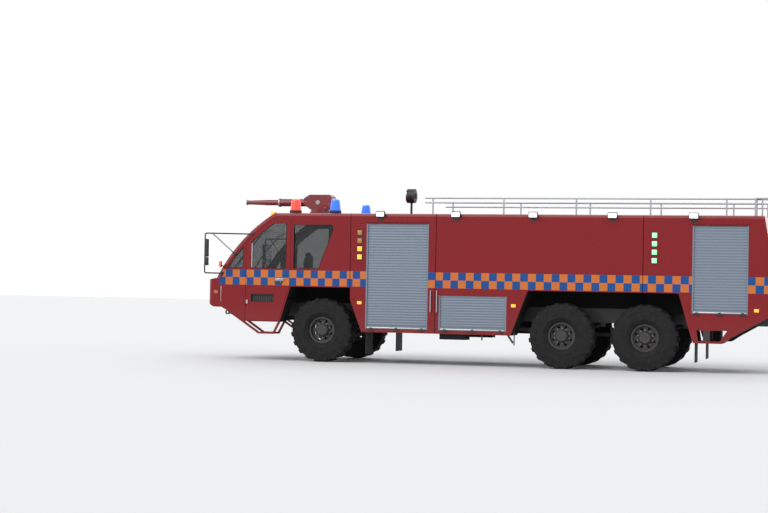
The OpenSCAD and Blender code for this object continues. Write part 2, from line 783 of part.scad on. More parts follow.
// Upright tube on two level arms with a brace below the upper one, and heads turned to the driver
module mirrors() truck() color(black) both_sides() {
  top = [mirror_x, mirror_y, mirror_top_z];
  rod([mirror_x, mirror_y, mirror_low_z], top, mirror_tube_d + 2);
  for (z = [mirror_low_z, mirror_top_z]) rod([mirror_x, mirror_y, z], mirror_foot(z), mirror_tube_d);
  rod(top + brace_share * (mirror_foot(mirror_top_z) - top), mirror_foot(brace_z), mirror_tube_d - 8);
  for (z = [mirror_low_z, brace_z, mirror_top_z])
    disc_y(mirror_foot(z)[0], z, half_w, half_w + mirror_tube_d, mirror_tube_d + 10);
  for (h = mirror_heads) translate([mirror_x, mirror_y, 0]) rotate([0, 0, -mirror_turn])
    block([-5, -mirror_w / 2, h[0]], [mirror_t - 5, mirror_w / 2, h[1]]);
}

frame_d = 42;
tread_z = 590;
tread_front_x = door_front_x + 304;
tread_rear_x = door_front_x + 640;
step_foot = [chin_x - 310, pod_bottom_z + 165];

// Step frames as two bent square tubes a side, with a tread between them
module step_frames() truck() color(red) difference() {
  both_sides() {
    for (y = [pod_inner_y + 80, half_w - 40]) slab(y - frame_d / 2, y + frame_d / 2)
      strip([step_foot, [tread_front_x, tread_z], [tread_rear_x, tread_z],
        [tread_rear_x + 130, pod_bottom_z + 10]], frame_d);
    block([tread_front_x + 6, pod_inner_y + 60, tread_z - 10], [tread_rear_x - 6, half_w - 30, tread_z + 12]);
  }
  slab(-half_w - 1, half_w + 1) lower_cab();
}

// Body sections

// Shutters as [x0, x1, z0, z1]
shutter_table = [
  [locker_x + 349, locker_end_x - 152, 730, 2940],
  [tank_x + 77, bogie_arch_front[1] - 106, 730, 1460],
  [bogie_arch_rear[1] + 3, behind(0.71), 1190, 2945]
];

module shutter_recesses() both_sides() for (s = shutter_table)
  block([s[0], half_w - shutter_inset, s[2]], [s[1], half_w + 1, s[3]]);

// Block over the rails and full-width block over the arches
module body_core(x0, x1) {
  beam(x0, x1) roof_section(arch_top_z);
  block([x0, -rail_span / 2, rail_top_z], [x1, rail_span / 2, arch_top_z]);
}

module locker_body() truck() color(red) difference() {
  union() {
    body_core(locker_x, locker_end_x);
    both_sides() slab(locker_inner_y, half_w) polygon([
      [locker_x, arch_top_z], [locker_x + 6, arch_bend_z], [front_arch_rear[1], arch_foot_z],
      [front_arch_rear[1] + 16, locker_bottom_z], [locker_end_x, locker_bottom_z],
      [locker_end_x, arch_top_z]
    ]);
  }
  shutter_recesses();
}

// Box under the front of the tank section, as [length, height]
under_box = [560, 115];

module tank_body() truck() color(red) difference() {
  union() {
    body_core(tank_x, tank_end_x);
    block([tank_x + 40, -walkway_half_w, roof_z - 1], [tank_end_x - 40, walkway_half_w, roof_z + walkway_t]);
    block_pair([tank_x + 92, locker_inner_y + 300, locker_bottom_z - under_box[1]],
      [tank_x + 92 + under_box[0], half_w - 40, locker_bottom_z + 1]);
    both_sides() slab(locker_inner_y, half_w) polygon([
      [tank_x, arch_top_z], [tank_x, locker_bottom_z],
      [arch_x(bogie_arch_front, locker_bottom_z), locker_bottom_z], [bogie_arch_front[0], arch_top_z]
    ]);
  }
  shutter_recesses();
}

bay_half_w = 620;
bay_top_z = 2280;
rear_lean = 150;
apron_t = 60;
apron_low_z = 1168;
lid_low_z = 1330;
skirt_z = 860;
skirt_low_z = 600;
skirt_bar = 45;

// Roof and front wall over the engine bay, with the hinges of the lid, and the apron below the lid
module rear_body() truck() color(red) {
  difference() {
    slab(-bay_half_w, bay_half_w) polygon([
      [rear_x, arch_top_z], [bay_front_x, arch_top_z], [bay_front_x, bay_top_z], [tail_x, bay_top_z],
      [tail_x, roof_z], [rear_x, roof_z]
    ]);
    rear_slant();
  }
  block([rear_x, -rail_span / 2, rail_top_z], [bay_front_x, rail_span / 2, arch_top_z + 1]);
  block([tail_x - apron_t, -bay_half_w, apron_low_z], [tail_x, bay_half_w, lid_low_z - door_gap]);
  lid_hinges() hinge_fixed();
}

// Slanting upper rear face
module rear_slant() slab(-half_w - 1, half_w + 1) polygon([
  [tail_x, bay_top_z + 60], [tail_x + 1, bay_top_z + 60], [tail_x + 1, roof_z + 1],
  [tail_x - rear_lean, roof_z + 1]
]);

module rear_lockers() truck() color(red) both_sides() difference() {
  union() {
    intersection() {
      beam(rear_x, tail_x) roof_section(arch_top_z);
      block([rear_x, bay_half_w, arch_top_z], [tail_x, half_w, roof_z]);
    }
    block([rear_x, bay_half_w, apron_low_z], [tail_x, locker_inner_y + 1, arch_top_z + 1]);
    slab(locker_inner_y, half_w) polygon([
      [bogie_arch_rear[0], arch_top_z + 1], [bogie_arch_rear[0], arch_top_z],
      [bogie_arch_rear[1], arch_foot_z], [behind(0.03), skirt_low_z], [behind(0.386), skirt_low_z],
      [behind(0.493), skirt_low_z + 114], [tail_x, apron_low_z], [tail_x, arch_top_z + 1]
    ]);
  }
  shutter_recesses();
  rear_slant();
  // Two openings in the lower frame
  slab(locker_inner_y - 1, half_w + 1) {
    polygon([
      [behind(0.088), skirt_low_z + skirt_bar], [behind(0.15), skirt_low_z + skirt_bar],
      [behind(0.15), skirt_z], [behind(0.066), skirt_z]
    ]);
    polygon([
      [behind(0.24), skirt_low_z + skirt_bar], [behind(0.363), skirt_low_z + skirt_bar],
      [behind(0.453), skirt_z], [behind(0.24), skirt_z]
    ]);
  }
}

// Places the two hinges of the engine lid, moving side down
module lid_hinges() for (y = [-420, 420])
  translate([tail_x + hinge_off, y, bay_top_z - door_gap / 2]) rotate([90, 90, 0]) children();

// Roller shutters: slats between side rails, with a lift bar below
module roller_shutters() truck() color(grey) both_sides() for (s = shutter_table) {
  count = floor((s[3] - s[2] - 70) / slat_h);
  pitch = (s[3] - s[2] - 70) / count;
  y0 = half_w - shutter_inset;
  beam(s[0] + 20, s[1] - 20) polygon(concat(
    [[y0, s[2] + 50], [y0 + 12, s[2] + 50]],
    [for (i = [0:count - 1], p = [[y0 + 12, 0.05], [y0 + 17, 0.5], [y0 + 12, 0.95]])
      [p[0], s[2] + 70 + (i + p[1]) * pitch]],
    [[y0 + 12, s[3]], [y0, s[3]]]
  ));
  for (x = [s[0], s[1] - 30]) block([x, y0, s[2]], [x + 30, half_w + 4, s[3]]);
  block([s[0] + 20, y0, s[2]], [s[1] - 20, y0 + 28, s[2] + 70]);
}

// Mudflaps as [x, top z, bottom z]
flap_table = [[front_arch_rear[1] + 98, locker_bottom_z, 190], [behind(0.043), skirt_low_z, 210]];

module mudflaps() truck() color(black) for (f = flap_table)
  block_pair([f[0], half_w - 560, f[2]], [f[0] + 16, half_w - 60, f[1]]);

// Roof gear

railing_end_x = tail_x - rear_lean - 80;
railing_xs = concat([for (x = [railing_front_x:railing_pitch:railing_end_x - 400]) x], [railing_end_x]);

module roof_rails() truck() color(steel) both_sides() {
  for (z = [railing_z, railing_z - 95])
    rod([railing_front_x - 170, railing_y, z], [railing_end_x + 20, railing_y, z], railing_d);
  for (x = railing_xs) rod([x, railing_y, roof_z], [x, railing_y, railing_z], railing_d);
}

ladder_y = -half_w + ladder_in;
ladder_half = 200;
ladder_low_z = 900;
ladder_stay_zs = [1250, 2200];
rung_count = 8;
rung_pitch = 290;

module rear_ladder() truck() color(grey) {
  x = tail_x + ladder_off;
  hoop_x = tail_x - rear_lean - 200;
  for (y = [ladder_y - ladder_half, ladder_y + ladder_half]) {
    rod([x, y, ladder_low_z], [x, y, railing_z], railing_d);
    rod([x, y, railing_z], [hoop_x, y, railing_z], railing_d);
    rod([hoop_x, y, railing_z], [hoop_x, y, roof_z], railing_d);
    for (z = ladder_stay_zs) rod([tail_x, y, z], [x, y, z], railing_d);
  }
  for (i = [0:rung_count - 1]) translate([x, ladder_y, ladder_low_z + 60 + i * rung_pitch])
    rotate([90, 0, 0]) cylinder(h = 2 * ladder_half, d = railing_d - 6, center = true);
}

// Grab rails on both sides of the seam behind the lockers
grab_xs = [locker_end_x - 84, tank_x + 38];
grab_zs = [1110, 1560];
grab_off = 45;
grab_d = 24;

module grab_rails() truck() color(steel) both_sides() for (x = grab_xs) {
  rod([x, half_w + grab_off, grab_zs[0]], [x, half_w + grab_off, grab_zs[1]], grab_d);
  for (z = [grab_zs[0] + 30, grab_zs[1] - 30]) disc_y(x, z, half_w, half_w + grab_off, grab_d - 6);
}

module flood_lamps() truck() color([0.95, 0.95, 0.92]) both_sides() for (i = [0:4])
  translate([flood_x + i * flood_pitch, half_w, roof_z]) {
    block([-95, 3, -75], [95, 78, 40]);
    block([-40, 0, -150], [40, 10, -70]);
  }

beacon_xs = [-715, 180];
beacon_y = 1150;
beacon_d = 240;
beacon_foot_h = 70;
beacon_h = 250;

module beacons() truck() color([0.2, 0.3, 0.9]) both_sides() for (x = beacon_xs)
  translate([x, beacon_y, roof_z]) {
    cylinder(h = beacon_foot_h, d = beacon_d + 20);
    translate([0, 0, beacon_foot_h]) cylinder(h = beacon_h, d1 = beacon_d, d2 = beacon_d - 60);
  }

search_x = 1555;
search_d = 310;
search_len = 170;
search_post_h = 320;

module searchlight() truck() color(black) translate([search_x, 0, roof_z]) {
  cylinder(h = search_post_h, d = 50);
  cylinder(h = 30, d = 180);
  translate([-search_len / 2, 0, search_post_h - 20 + search_d / 2]) rotate([0, 90, 0])
    cylinder(h = search_len, d = search_d);
}

marker_xs = [front_arch_rear[1] - 36, bogie_arch_front[1] + 40, behind(0.82)];
marker_z = 1275;
marker_t = 18;

// Side markers, indicators round the corners of the nose and markers on the brow of the roof
module side_markers() truck() color([1, 0.6, 0.1]) both_sides() {
  for (x = marker_xs)
    block([x - 45, half_w, marker_z - 30], [x + 45, half_w + marker_t, marker_z + 30]);
  intersection() {
    translate([0, 0, lamp_z - 35]) linear_extrude(70) difference() {
      nose_plan(marker_t);
      nose_plan(seat_gap);
    }
    block([nose_joint_x - 170, half_w - nose_r, 0], [nose_joint_x - 80, half_w + marker_t + 1, belt_z]);
  }
  slab(half_w - 250, half_w - 150) difference() {
    translate([roof_front_x - 130, roof_z - 120]) square([100, 150]);
    screen_disc(-seat_gap);
  }
}

level_pitch = 170;
level_low_z = 2240;
level_size = 120;
foam_x = 850;
water_x = last_axle_x + 185;

module level_strip(x) both_sides() for (i = [0:3])
  block([x - level_size / 2, half_w, level_low_z + i * level_pitch - level_size / 2],
    [x + level_size / 2, half_w + 20, level_low_z + i * level_pitch + level_size / 2]);

module foam_level_lamps() truck() color([1, 0.65, 0.1]) level_strip(foam_x);
module water_level_lamps() truck() color([0.3, 1, 0.5]) level_strip(water_x);

tail_lamp = [24, 150, 480];
tail_lamp_z = 1300;
tail_lamp_in = 60;

module tail_lamps() truck() color([0.8, 0.1, 0.1]) both_sides()
  translate([tail_x, half_w - tail_lamp_in - tail_lamp[1], tail_lamp_z]) cube(tail_lamp);

// Water cannon: base on the roof, turntable, barrel

base_h = 90;
base_d = 460;
pivot_d = 160;
fork_y = 130;
cheek_t = 40;
cheek_front = 327;
cheek_rear = 307;
cheek_h = 380;
hood_t = 35;
hood_x = 110;

module cannon_base() truck() color(red) translate([cannon_x, 0, roof_z]) {
  cylinder(h = base_h, d = base_d);
  cylinder(h = base_h + 60, d = pivot_d);
}

// Turning disc with two cheeks that carry the barrel, and a hood behind its tail
module cannon_turntable() truck() color(red) translate([cannon_x, 0, roof_z + base_h]) difference() {
  union() {
    translate([0, 0, 1]) cylinder(h = 70, d = base_d - 40);
    both_sides() slab(fork_y, fork_y + cheek_t) polygon([
      [-190, 60], [200, 60], [cheek_rear, 130], [cheek_rear, cheek_h - hood_t],
      [cheek_rear - hood_t, cheek_h], [-200, cheek_h], [-cheek_front, cheek_h - 80], [-cheek_front, 170]
    ]);
    slab(-fork_y - 1, fork_y + 1) polygon([
      [cheek_rear - hood_t, 130], [cheek_rear, 130], [cheek_rear, cheek_h - hood_t],
      [cheek_rear - hood_t, cheek_h], [hood_x, cheek_h], [hood_x, cheek_h - hood_t],
      [cheek_rear - hood_t, cheek_h - hood_t]
    ]);
  }
  translate([0, 0, -1]) cylinder(h = 63, d = pivot_d + 2 * running_gap);
  disc_y(0, cannon_tilt_z - roof_z - base_h, -fork_y - 50, fork_y + 50, 60 + 2 * running_gap);
}

module cannon_barrel() truck() color(red) translate([cannon_x, 0, cannon_tilt_z]) {
  disc_y(0, 0, -fork_y - 40, fork_y + 40, 60);
  rotate([0, -90, 0]) rotate_extrude($fn = 64) polygon([
    [0, -90], [cannon_d / 2, -90], [cannon_d / 2, 950], [cannon_d / 2 - 22, 1000],
    [cannon_d / 2 - 22, 1250], [48, cannon_reach - 120], [48, cannon_reach - 40], [58, cannon_reach],
    [44, cannon_reach], [40, cannon_reach - 60], [0, cannon_reach - 60]
  ]);
}

// Engine lid on the rear face: frame with louvre blades, hinged at its top edge

lid_t = 50;
lid_top_z = bay_top_z - door_gap;
blade_pitch = 90;

module engine_lid() truck() color(red) {
  x0 = tail_x - lid_t;
  half = bay_half_w - door_gap;
  blades = floor((lid_top_z - lid_low_z - 160) / blade_pitch);
  difference() {
    block([x0, -half, lid_low_z], [tail_x, half, lid_top_z]);
    block([x0 - 1, -half + 80, lid_low_z + 80], [tail_x + 1, half - 80, lid_top_z - 80]);
  }
  lid_hinges() hinge_moving();
  for (i = [0:blades - 1]) slab(-half + 80, half - 80) polygon([
    [x0, lid_low_z + 110 + i * blade_pitch], [tail_x, lid_low_z + 70 + i * blade_pitch],
    [tail_x, lid_low_z + 82 + i * blade_pitch], [x0, lid_low_z + 122 + i * blade_pitch]
  ]);
}

chassis_frame();
cross_members();
front_axle();
rear_axles();
drive_line();
engine_block();
cab_body();
cab_glass();
seats();
dashboard();
mirrors();
nose_panel();
headlamps();
step_frames();
locker_body();
tank_body();
rear_body();
rear_lockers();
roller_shutters();
mudflaps();
roof_rails();
rear_ladder();
grab_rails();
flood_lamps();
beacons();
searchlight();
side_markers();
foam_level_lamps();
water_level_lamps();
tail_lamps();
cannon_base();
cannon_turntable();
cannon_barrel();
engine_lid();
door_left();
door_right();
door_glass_left();
door_glass_right();
knuckle_left();
knuckle_right();
tie_rod();
tyre_front_left();
tyre_front_right();
rim_front_left();
rim_front_right();
tyre_middle_left();
tyre_middle_right();
rim_middle_left();
rim_middle_right();
tyre_rear_left();
tyre_rear_right();
rim_rear_left();
rim_rear_right();
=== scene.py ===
import math

import bmesh
import bpy
from mathutils import Matrix, Vector


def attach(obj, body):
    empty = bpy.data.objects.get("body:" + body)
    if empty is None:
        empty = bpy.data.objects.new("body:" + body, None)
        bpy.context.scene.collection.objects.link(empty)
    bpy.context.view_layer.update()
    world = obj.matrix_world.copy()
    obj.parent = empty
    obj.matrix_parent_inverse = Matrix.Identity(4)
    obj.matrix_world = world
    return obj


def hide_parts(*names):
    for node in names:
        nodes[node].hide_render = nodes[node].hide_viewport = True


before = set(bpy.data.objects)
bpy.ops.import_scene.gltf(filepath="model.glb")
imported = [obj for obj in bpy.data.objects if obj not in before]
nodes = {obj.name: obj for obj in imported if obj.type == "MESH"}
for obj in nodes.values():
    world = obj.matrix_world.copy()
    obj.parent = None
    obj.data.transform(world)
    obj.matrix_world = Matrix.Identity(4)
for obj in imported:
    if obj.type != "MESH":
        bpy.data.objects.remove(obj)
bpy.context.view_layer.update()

# Chassis: ladder frame of pressed channels with cross members and towing eyes.
# Steel, dipped in dark grey primer and top coat, dusty from the road.


def new_finish(name):
    """A material with its shader and the place of each point on the truck."""
    mat = bpy.data.materials.new(name)
    mat.use_nodes = True
    tree = mat.node_tree
    shader = tree.nodes["Principled BSDF"]
    place = tree.nodes.new("ShaderNodeTexCoord").outputs["Object"]
    return mat, tree, shader, place


def feed(node, inputs):
    """Gives a node's inputs numbers, colours or links."""
    for key, value in inputs.items():
        if isinstance(value, bpy.types.NodeSocket):
            node.id_data.links.new(value, node.inputs[key])
        else:
            node.inputs[key].default_value = value


def wire(tree, kind, settings=None, **inputs):
    """A node of one kind with its settings; i0 stands for its first input, i1 for the next."""
    node = tree.nodes.new(kind)
    for key, value in (settings or {}).items():
        setattr(node, key, value)
    feed(node, {int(key[1:]) if key[1:].isdigit() else key: value for key, value in inputs.items()})
    return node


def math_node(tree, operation, a, b=0.0, clamp=False):
    return wire(tree, "ShaderNodeMath", {"operation": operation, "use_clamp": clamp}, i0=a, i1=b).outputs[0]


def times(tree, a, b):
    return math_node(tree, "MULTIPLY", a, b)


def blend_colour(tree, share, a, b):
    """Colour a where share is 0, colour b where it is 1."""
    return wire(tree, "ShaderNodeMix", {"data_type": "RGBA"}, i0=share, i6=a, i7=b).outputs[2]


def noise(tree, place, scale, detail, roughness=0.5):
    return wire(tree, "ShaderNodeTexNoise", Vector=place, Scale=scale, Detail=detail,
                Roughness=roughness).outputs[0]


def spread(tree, value, low, high, to_low, to_high, curve="LINEAR"):
    """Maps the range low to high onto to_low to to_high."""
    return wire(tree, "ShaderNodeMapRange", {"interpolation_type": curve}, i0=value, i1=low, i2=high,
                i3=to_low, i4=to_high).outputs[0]


def emboss(tree, shader, height, strength, distance):
    """Gives the shader's surface a fine relief."""
    bump = wire(tree, "ShaderNodeBump", Strength=strength, Distance=distance, Height=height)
    feed(shader, {"Normal": bump.outputs[0]})


def road_dust(tree, place, low, high, most):
    """Share of dust, most near the ground and none above high metres, in soft patches."""
    z = wire(tree, "ShaderNodeSeparateXYZ", i0=place).outputs[2]
    fall = spread(tree, z, low, high, most, 0.0, "SMOOTHSTEP")
    patch = spread(tree, noise(tree, place, 3.0, 6.0, 0.6), 0.3, 0.7, 0.35, 1.0)
    return times(tree, fall, patch)


def coated_metal(name, colour, roughness=0.35, coat=0.0, metallic=0.0, peel=0.02, peel_scale=260.0, dust=0.35,
                 dust_top=1.2):
    """Paint or bare metal with a fine surface grain and dust near the ground."""
    mat, tree, shader, place = new_finish(name)
    cloud = noise(tree, place, 1.6, 5.0, 0.55)
    base = blend_colour(tree, cloud, tuple(c * 0.86 for c in colour) + (1.0,), colour + (1.0,))
    share = road_dust(tree, place, 0.4, dust_top, dust)
    base = blend_colour(tree, share, base, (0.16, 0.13, 0.10, 1.0))
    rough = spread(tree, cloud, 0.3, 0.7, roughness * 0.9, roughness * 1.12)
    rough = math_node(tree, "ADD", rough, times(tree, share, 0.45), clamp=True)
    emboss(tree, shader, noise(tree, place, peel_scale, 2.0), peel, 0.002)
    feed(shader, {"Base Color": base, "Roughness": rough, "Metallic": metallic, "Coat Weight": coat,
                  "Coat Roughness": 0.08})
    return mat


def coat_node(mat, *names):
    """Puts one material into every slot of the named nodes."""
    for name in names:
        slots = nodes[name].data.materials
        for i in range(max(1, len(slots))):
            if i < len(slots):
                slots[i] = mat
            else:
                slots.append(mat)


frame_paint = coated_metal("frame_paint", (0.035, 0.036, 0.04), 0.5, 0.1, peel=0.05, dust=0.55)
coat_node(frame_paint, "chassis_frame", "cross_members")

# Axles, springs, knuckles, tie rod and drive line: castings and forgings.
# Cast iron and steel painted black, with coarse grain and a film of dust and oil.
casting_paint = coated_metal("casting_paint", (0.028, 0.028, 0.03), 0.6, peel=0.25, peel_scale=120.0,
                             dust=0.6)
coat_node(casting_paint, "front_axle", "rear_axles", "drive_line", "knuckle_left", "knuckle_right", "tie_rod",
          "engine_block")

# Tyres: 16.00R20 class cross-country tyres of black rubber, moulded with open shoulder lugs,
# a centre rib pattern and thin rings on the sidewalls. Each replaces its plain solid.
FRONT_AXLE_X = -3.4485
WHEELBASE, BOGIE = 5.15, 1.70
AXLES = (("front", 0.0), ("middle", WHEELBASE), ("rear", WHEELBASE + BOGIE))
SIDES = (("left", -1), ("right", 1))
TYRE_R, WHEEL_Y = 0.677, 1.235
LUGS = 20


def at(x, y, z):
    """A point given from the front axle, the middle plane and the ground."""
    return (FRONT_AXLE_X + x, y, z)


def rubber_finish(name, colour, roughness):
    """Rubber or webbing with a pale film of dirt in patches and a moulded grain."""
    mat, tree, shader, place = new_finish(name)
    share = spread(tree, noise(tree, place, 9.0, 8.0, 0.7), 0.42, 0.72, 0.0, 0.4)
    base = blend_colour(tree, share, colour + (1.0,), (0.040, 0.034, 0.028, 1.0))
    emboss(tree, shader, noise(tree, place, 180.0, 4.0), 0.3, 0.0015)
    feed(shader, {"Base Color": base, "Roughness": roughness, "Specular IOR Level": 0.25})
    return mat


tyre_rubber = rubber_finish("tyre_rubber", (0.009, 0.009, 0.010), 0.8)


def piece_from(bm, name, mat, body, smooth=40.0):
    """Turns a finished bmesh into a piece that rides on a body."""
    bmesh.ops.recalc_face_normals(bm, faces=bm.faces)
    mesh = bpy.data.meshes.new(name)
    bm.to_mesh(mesh)
    bm.free()
    obj = bpy.data.objects.new(name, mesh)
    bpy.context.scene.collection.objects.link(obj)
    mesh.materials.append(mat)
    mesh.shade_smooth()
    mesh.set_sharp_from_angle(angle=math.radians(smooth))
    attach(obj, body)
    return obj


def turn_profile(bm, points, steps, closed=True):
    """Spins a profile of (radius, y) round the Y axis through the origin."""
    verts = [bm.verts.new((r, y, 0.0)) for r, y in points]
    edges = [bm.edges.new((verts[i], verts[i + 1])) for i in range(len(verts) - 1)]
    if closed:
        edges.append(bm.edges.new((verts[-1], verts[0])))
    bmesh.ops.spin(bm, geom=verts + edges, cent=(0, 0, 0), axis=(0, 1, 0), angle=2 * math.pi, steps=steps,
                   use_merge=True, use_duplicate=False)


def block(bm, size, centre, edge=0.003, turn=None, segments=1):
    """A block with its edges taken off, as a moulded or pressed part has them."""
    made = bmesh.ops.create_cube(bm, size=1.0)["verts"]
    bmesh.ops.scale(bm, vec=size, verts=made)
    if edge:
        edges = {e for v in made for e in v.link_edges}
        out = bmesh.ops.bevel(bm, geom=list(edges), offset=edge, offset_type="OFFSET", segments=segments,
                              profile=0.5, affect="EDGES", clamp_overlap=True, material=-1)
        made = list({v for f in out["faces"] for v in f.verts} | {v for v in made if v.is_valid})
    if turn is not None:
        bmesh.ops.rotate(bm, cent=(0, 0, 0), matrix=turn, verts=made)
    bmesh.ops.translate(bm, vec=centre, verts=made)
    return made


def make_tyre(name, x, side, body):
    """One tyre: the wall's section from bead to crown, mirrored and spun, with lugs set round it."""
    bm = bmesh.new()
    seat, bead, flange = 0.1227, 0.2623, 0.2803
    wall = [(bead, -seat), (flange, -seat), (flange + 0.001, -seat - 0.014), (0.30, -0.165),
            (0.335, -0.188), (0.372, -0.207), (0.376, -0.211), (0.384, -0.211), (0.388, -0.209),
            (0.44, -0.2145), (0.452, -0.215), (0.50, -0.2135), (0.528, -0.211), (0.532, -0.2145),
            (0.54, -0.2145), (0.545, -0.210), (0.583, -0.206), (0.615, -0.199), (0.643, -0.188),
            (0.652, -0.17), (0.657, -0.11)]
    profile = wall + [(0.658, 0.0)] + [(r, -y) for r, y in reversed(wall)]
    turn_profile(bm, profile, 96)
    # Shoulder lugs, angled, running from the sidewall to the middle ribs
    for side_sign in (-1, 1):
        for i in range(LUGS):
            angle = (i + (0.5 if side_sign > 0 else 0.0)) * 2 * math.pi / LUGS
            made = block(bm, (0.028, 0.15, 0.092), (0.6615, side_sign * 0.118, 0.0), 0.005)
            made += block(bm, (0.060, 0.020, 0.086), (0.628, side_sign * 0.197, 0.0), 0.006)
            made += block(bm, (0.024, 0.055, 0.062), (0.6595, side_sign * 0.030, 0.055), 0.004)
            bmesh.ops.rotate(bm, cent=(0, 0, 0), matrix=Matrix.Rotation(-angle, 3, "Y"), verts=made)
    bmesh.ops.scale(bm, vec=(1, side, 1), verts=bm.verts)
    bmesh.ops.translate(bm, vec=at(x, side * WHEEL_Y, TYRE_R), verts=bm.verts)
    tyre = piece_from(bm, name + "_moulded", tyre_rubber, body, 35.0)
    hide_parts(name)


for axle, x in AXLES:
    for side_name, side in SIDES:
        make_tyre(f"tyre_{axle}_{side_name}", x, side, f"wheel_{axle}_{side_name}")

# Rims: pressed steel discs welded into rolled barrels, black coated, each held by ten wheel
# nuts round a planetary hub cap with its own bolts, with a tyre valve in one hand hole.
rim_paint = coated_metal("rim_paint", (0.014, 0.015, 0.018), 0.5, peel=0.05, dust=0.18, dust_top=1.4)
nut_steel = coated_metal("nut_steel", (0.15, 0.155, 0.17), 0.4, metallic=0.85, peel=0.04, dust=0.2)
NUT_CIRCLE, HUB_CIRCLE = 0.158, 0.085
VALVE_ANGLE = math.radians(22.5)


def round_axle(radius, angle, y):
    """A point at an angle round the Y axis."""
    return (radius * math.cos(angle), y, radius * math.sin(angle))


def swept(bm, points, radius, closed=False, rounds=3):
    """Adds a round bar along a path of points, made by a bevelled curve."""
    curve = bpy.data.curves.new("path", "CURVE")
    curve.dimensions = "3D"
    curve.bevel_depth = radius
    curve.bevel_resolution = rounds
    curve.use_fill_caps = not closed
    line = curve.splines.new("POLY")
    line.points.add(len(points) - 1)
    for point, place in zip(line.points, points):
        point.co = (*place, 1.0)
    line.use_cyclic_u = closed
    holder = bpy.data.objects.new("path", curve)
    mesh = bpy.data.meshes.new_from_object(holder)
    bm.from_mesh(mesh)
    bpy.data.objects.remove(holder)
    bpy.data.curves.remove(curve)
    bpy.data.meshes.remove(mesh)


def stud(bm, size, centre, facing=(0, 0, 1), corners=6):
    """A bolt head, cap or pin: foot radius, top radius and height, its top to one side."""
    foot_radius, top_radius, height = size
    made = bmesh.ops.create_cone(bm, cap_ends=True, segments=corners, radius1=foot_radius, radius2=top_radius,
                                 depth=height)["verts"]
    turn = Vector((0, 0, 1)).rotation_difference(Vector(facing)).to_matrix()
    bmesh.ops.rotate(bm, cent=(0, 0, 0), matrix=turn, verts=made)
    bmesh.ops.translate(bm, vec=centre, verts=made)


for axle, x in AXLES:
    for side_name, side in SIDES:
        name = f"rim_{axle}_{side_name}"
        coat_node(rim_paint, name)
        bm = bmesh.new()
        for i in range(10):
            angle = (i + 0.5) * 2 * math.pi / 10
            for high, across, corners in ((0.030, 0.017, 6), (0.006, 0.024, 16)):
                centre = round_axle(NUT_CIRCLE, angle, 0.055 + high / 2)
                stud(bm, (across, across * 0.92, high), centre, (0, 1, 0), corners)
        for i in range(8):
            stud(bm, (0.010, 0.009, 0.010), round_axle(HUB_CIRCLE, i * 2 * math.pi / 8, 0.160), (0, 1, 0))
        valve = [round_axle(r, VALVE_ANGLE, y) for r, y in ((0.232, 0.0), (0.205, 0.040), (0.192, 0.090))]
        swept(bm, valve, 0.0045)
        bmesh.ops.scale(bm, vec=(1, side, 1), verts=bm.verts)
        bmesh.ops.translate(bm, vec=at(x, side * WHEEL_Y, TYRE_R), verts=bm.verts)
        piece_from(bm, f"wheel_nuts_{axle}_{side_name}", nut_steel, f"wheel_{axle}_{side_name}")

# Cab, nose, doors and body sections: aluminium panels in deep fire red, two-coat gloss paint,
# with a foil band of two rows of orange and blue squares along both sides. Faces turned in below
# the arches carry black underbody coating, which also serves as painted shade under the body,
# the cab's inside a pale grey lining, the roof tread plate.
FIRE_RED = (0.225, 0.004, 0.008)
FOIL_ORANGE = (0.56, 0.150, 0.028, 1.0)
FOIL_BLUE = (0.003, 0.060, 0.245, 1.0)
PAINTED_BLACK, LINING_GREY = (0.008, 0.008, 0.009, 1.0), (0.24, 0.24, 0.235, 1.0)
TREAD_GREY, PAINT_DUST = (0.17, 0.175, 0.18, 1.0), (0.13, 0.085, 0.07, 1.0)
PAINT_GLOSS = 0.14
BAND_LOW, BAND_MIDDLE, BAND_TOP = 1.6105, 1.774, 1.9375
TOP_ROW_SETBACK = 0.075
PAINT_EDGE_Y = 1.47
HALF_WIDTH, ROOF_Z = 1.5, 3.160
SKIN_Y = HALF_WIDTH - 0.0015
ARCH_TOP_Z, DECK_HALF = 1.597, 0.842
# The cab's inner faces: half width, floor, ceiling, rear wall, and depth behind the screen
CAB_HALF, CAB_FLOOR_Z, CAB_CEILING_Z, CAB_REAR_X, SCREEN_DEPTH = 1.434, 1.598, 3.092, 0.566, 0.068
# The windscreen follows one circle through its foot and its brow
SCREEN_R, SCREEN_FOOT_Z = 3.5, 1.745
foot, brow = Vector((-2.393, SCREEN_FOOT_Z)), Vector((-1.087, ROOF_Z))
chord = brow - foot
drop = math.sqrt(SCREEN_R ** 2 - chord.length_squared / 4)
unit = chord.normalized()
screen_centre = (foot + brow) / 2 + drop * Vector((unit.y, -unit.x))


def within(tree, value, low, high):
    """1 where a value lies between two limits, else 0."""
    return wire(tree, "ShaderNodeMath", {"operation": "COMPARE"}, i0=value, i1=(low + high) / 2,
                i2=(high - low) / 2).outputs[0]


def every(tree, *masks):
    """1 where all masks are 1."""
    share = masks[0]
    for mask in masks[1:]:
        share = times(tree, share, mask)
    return share


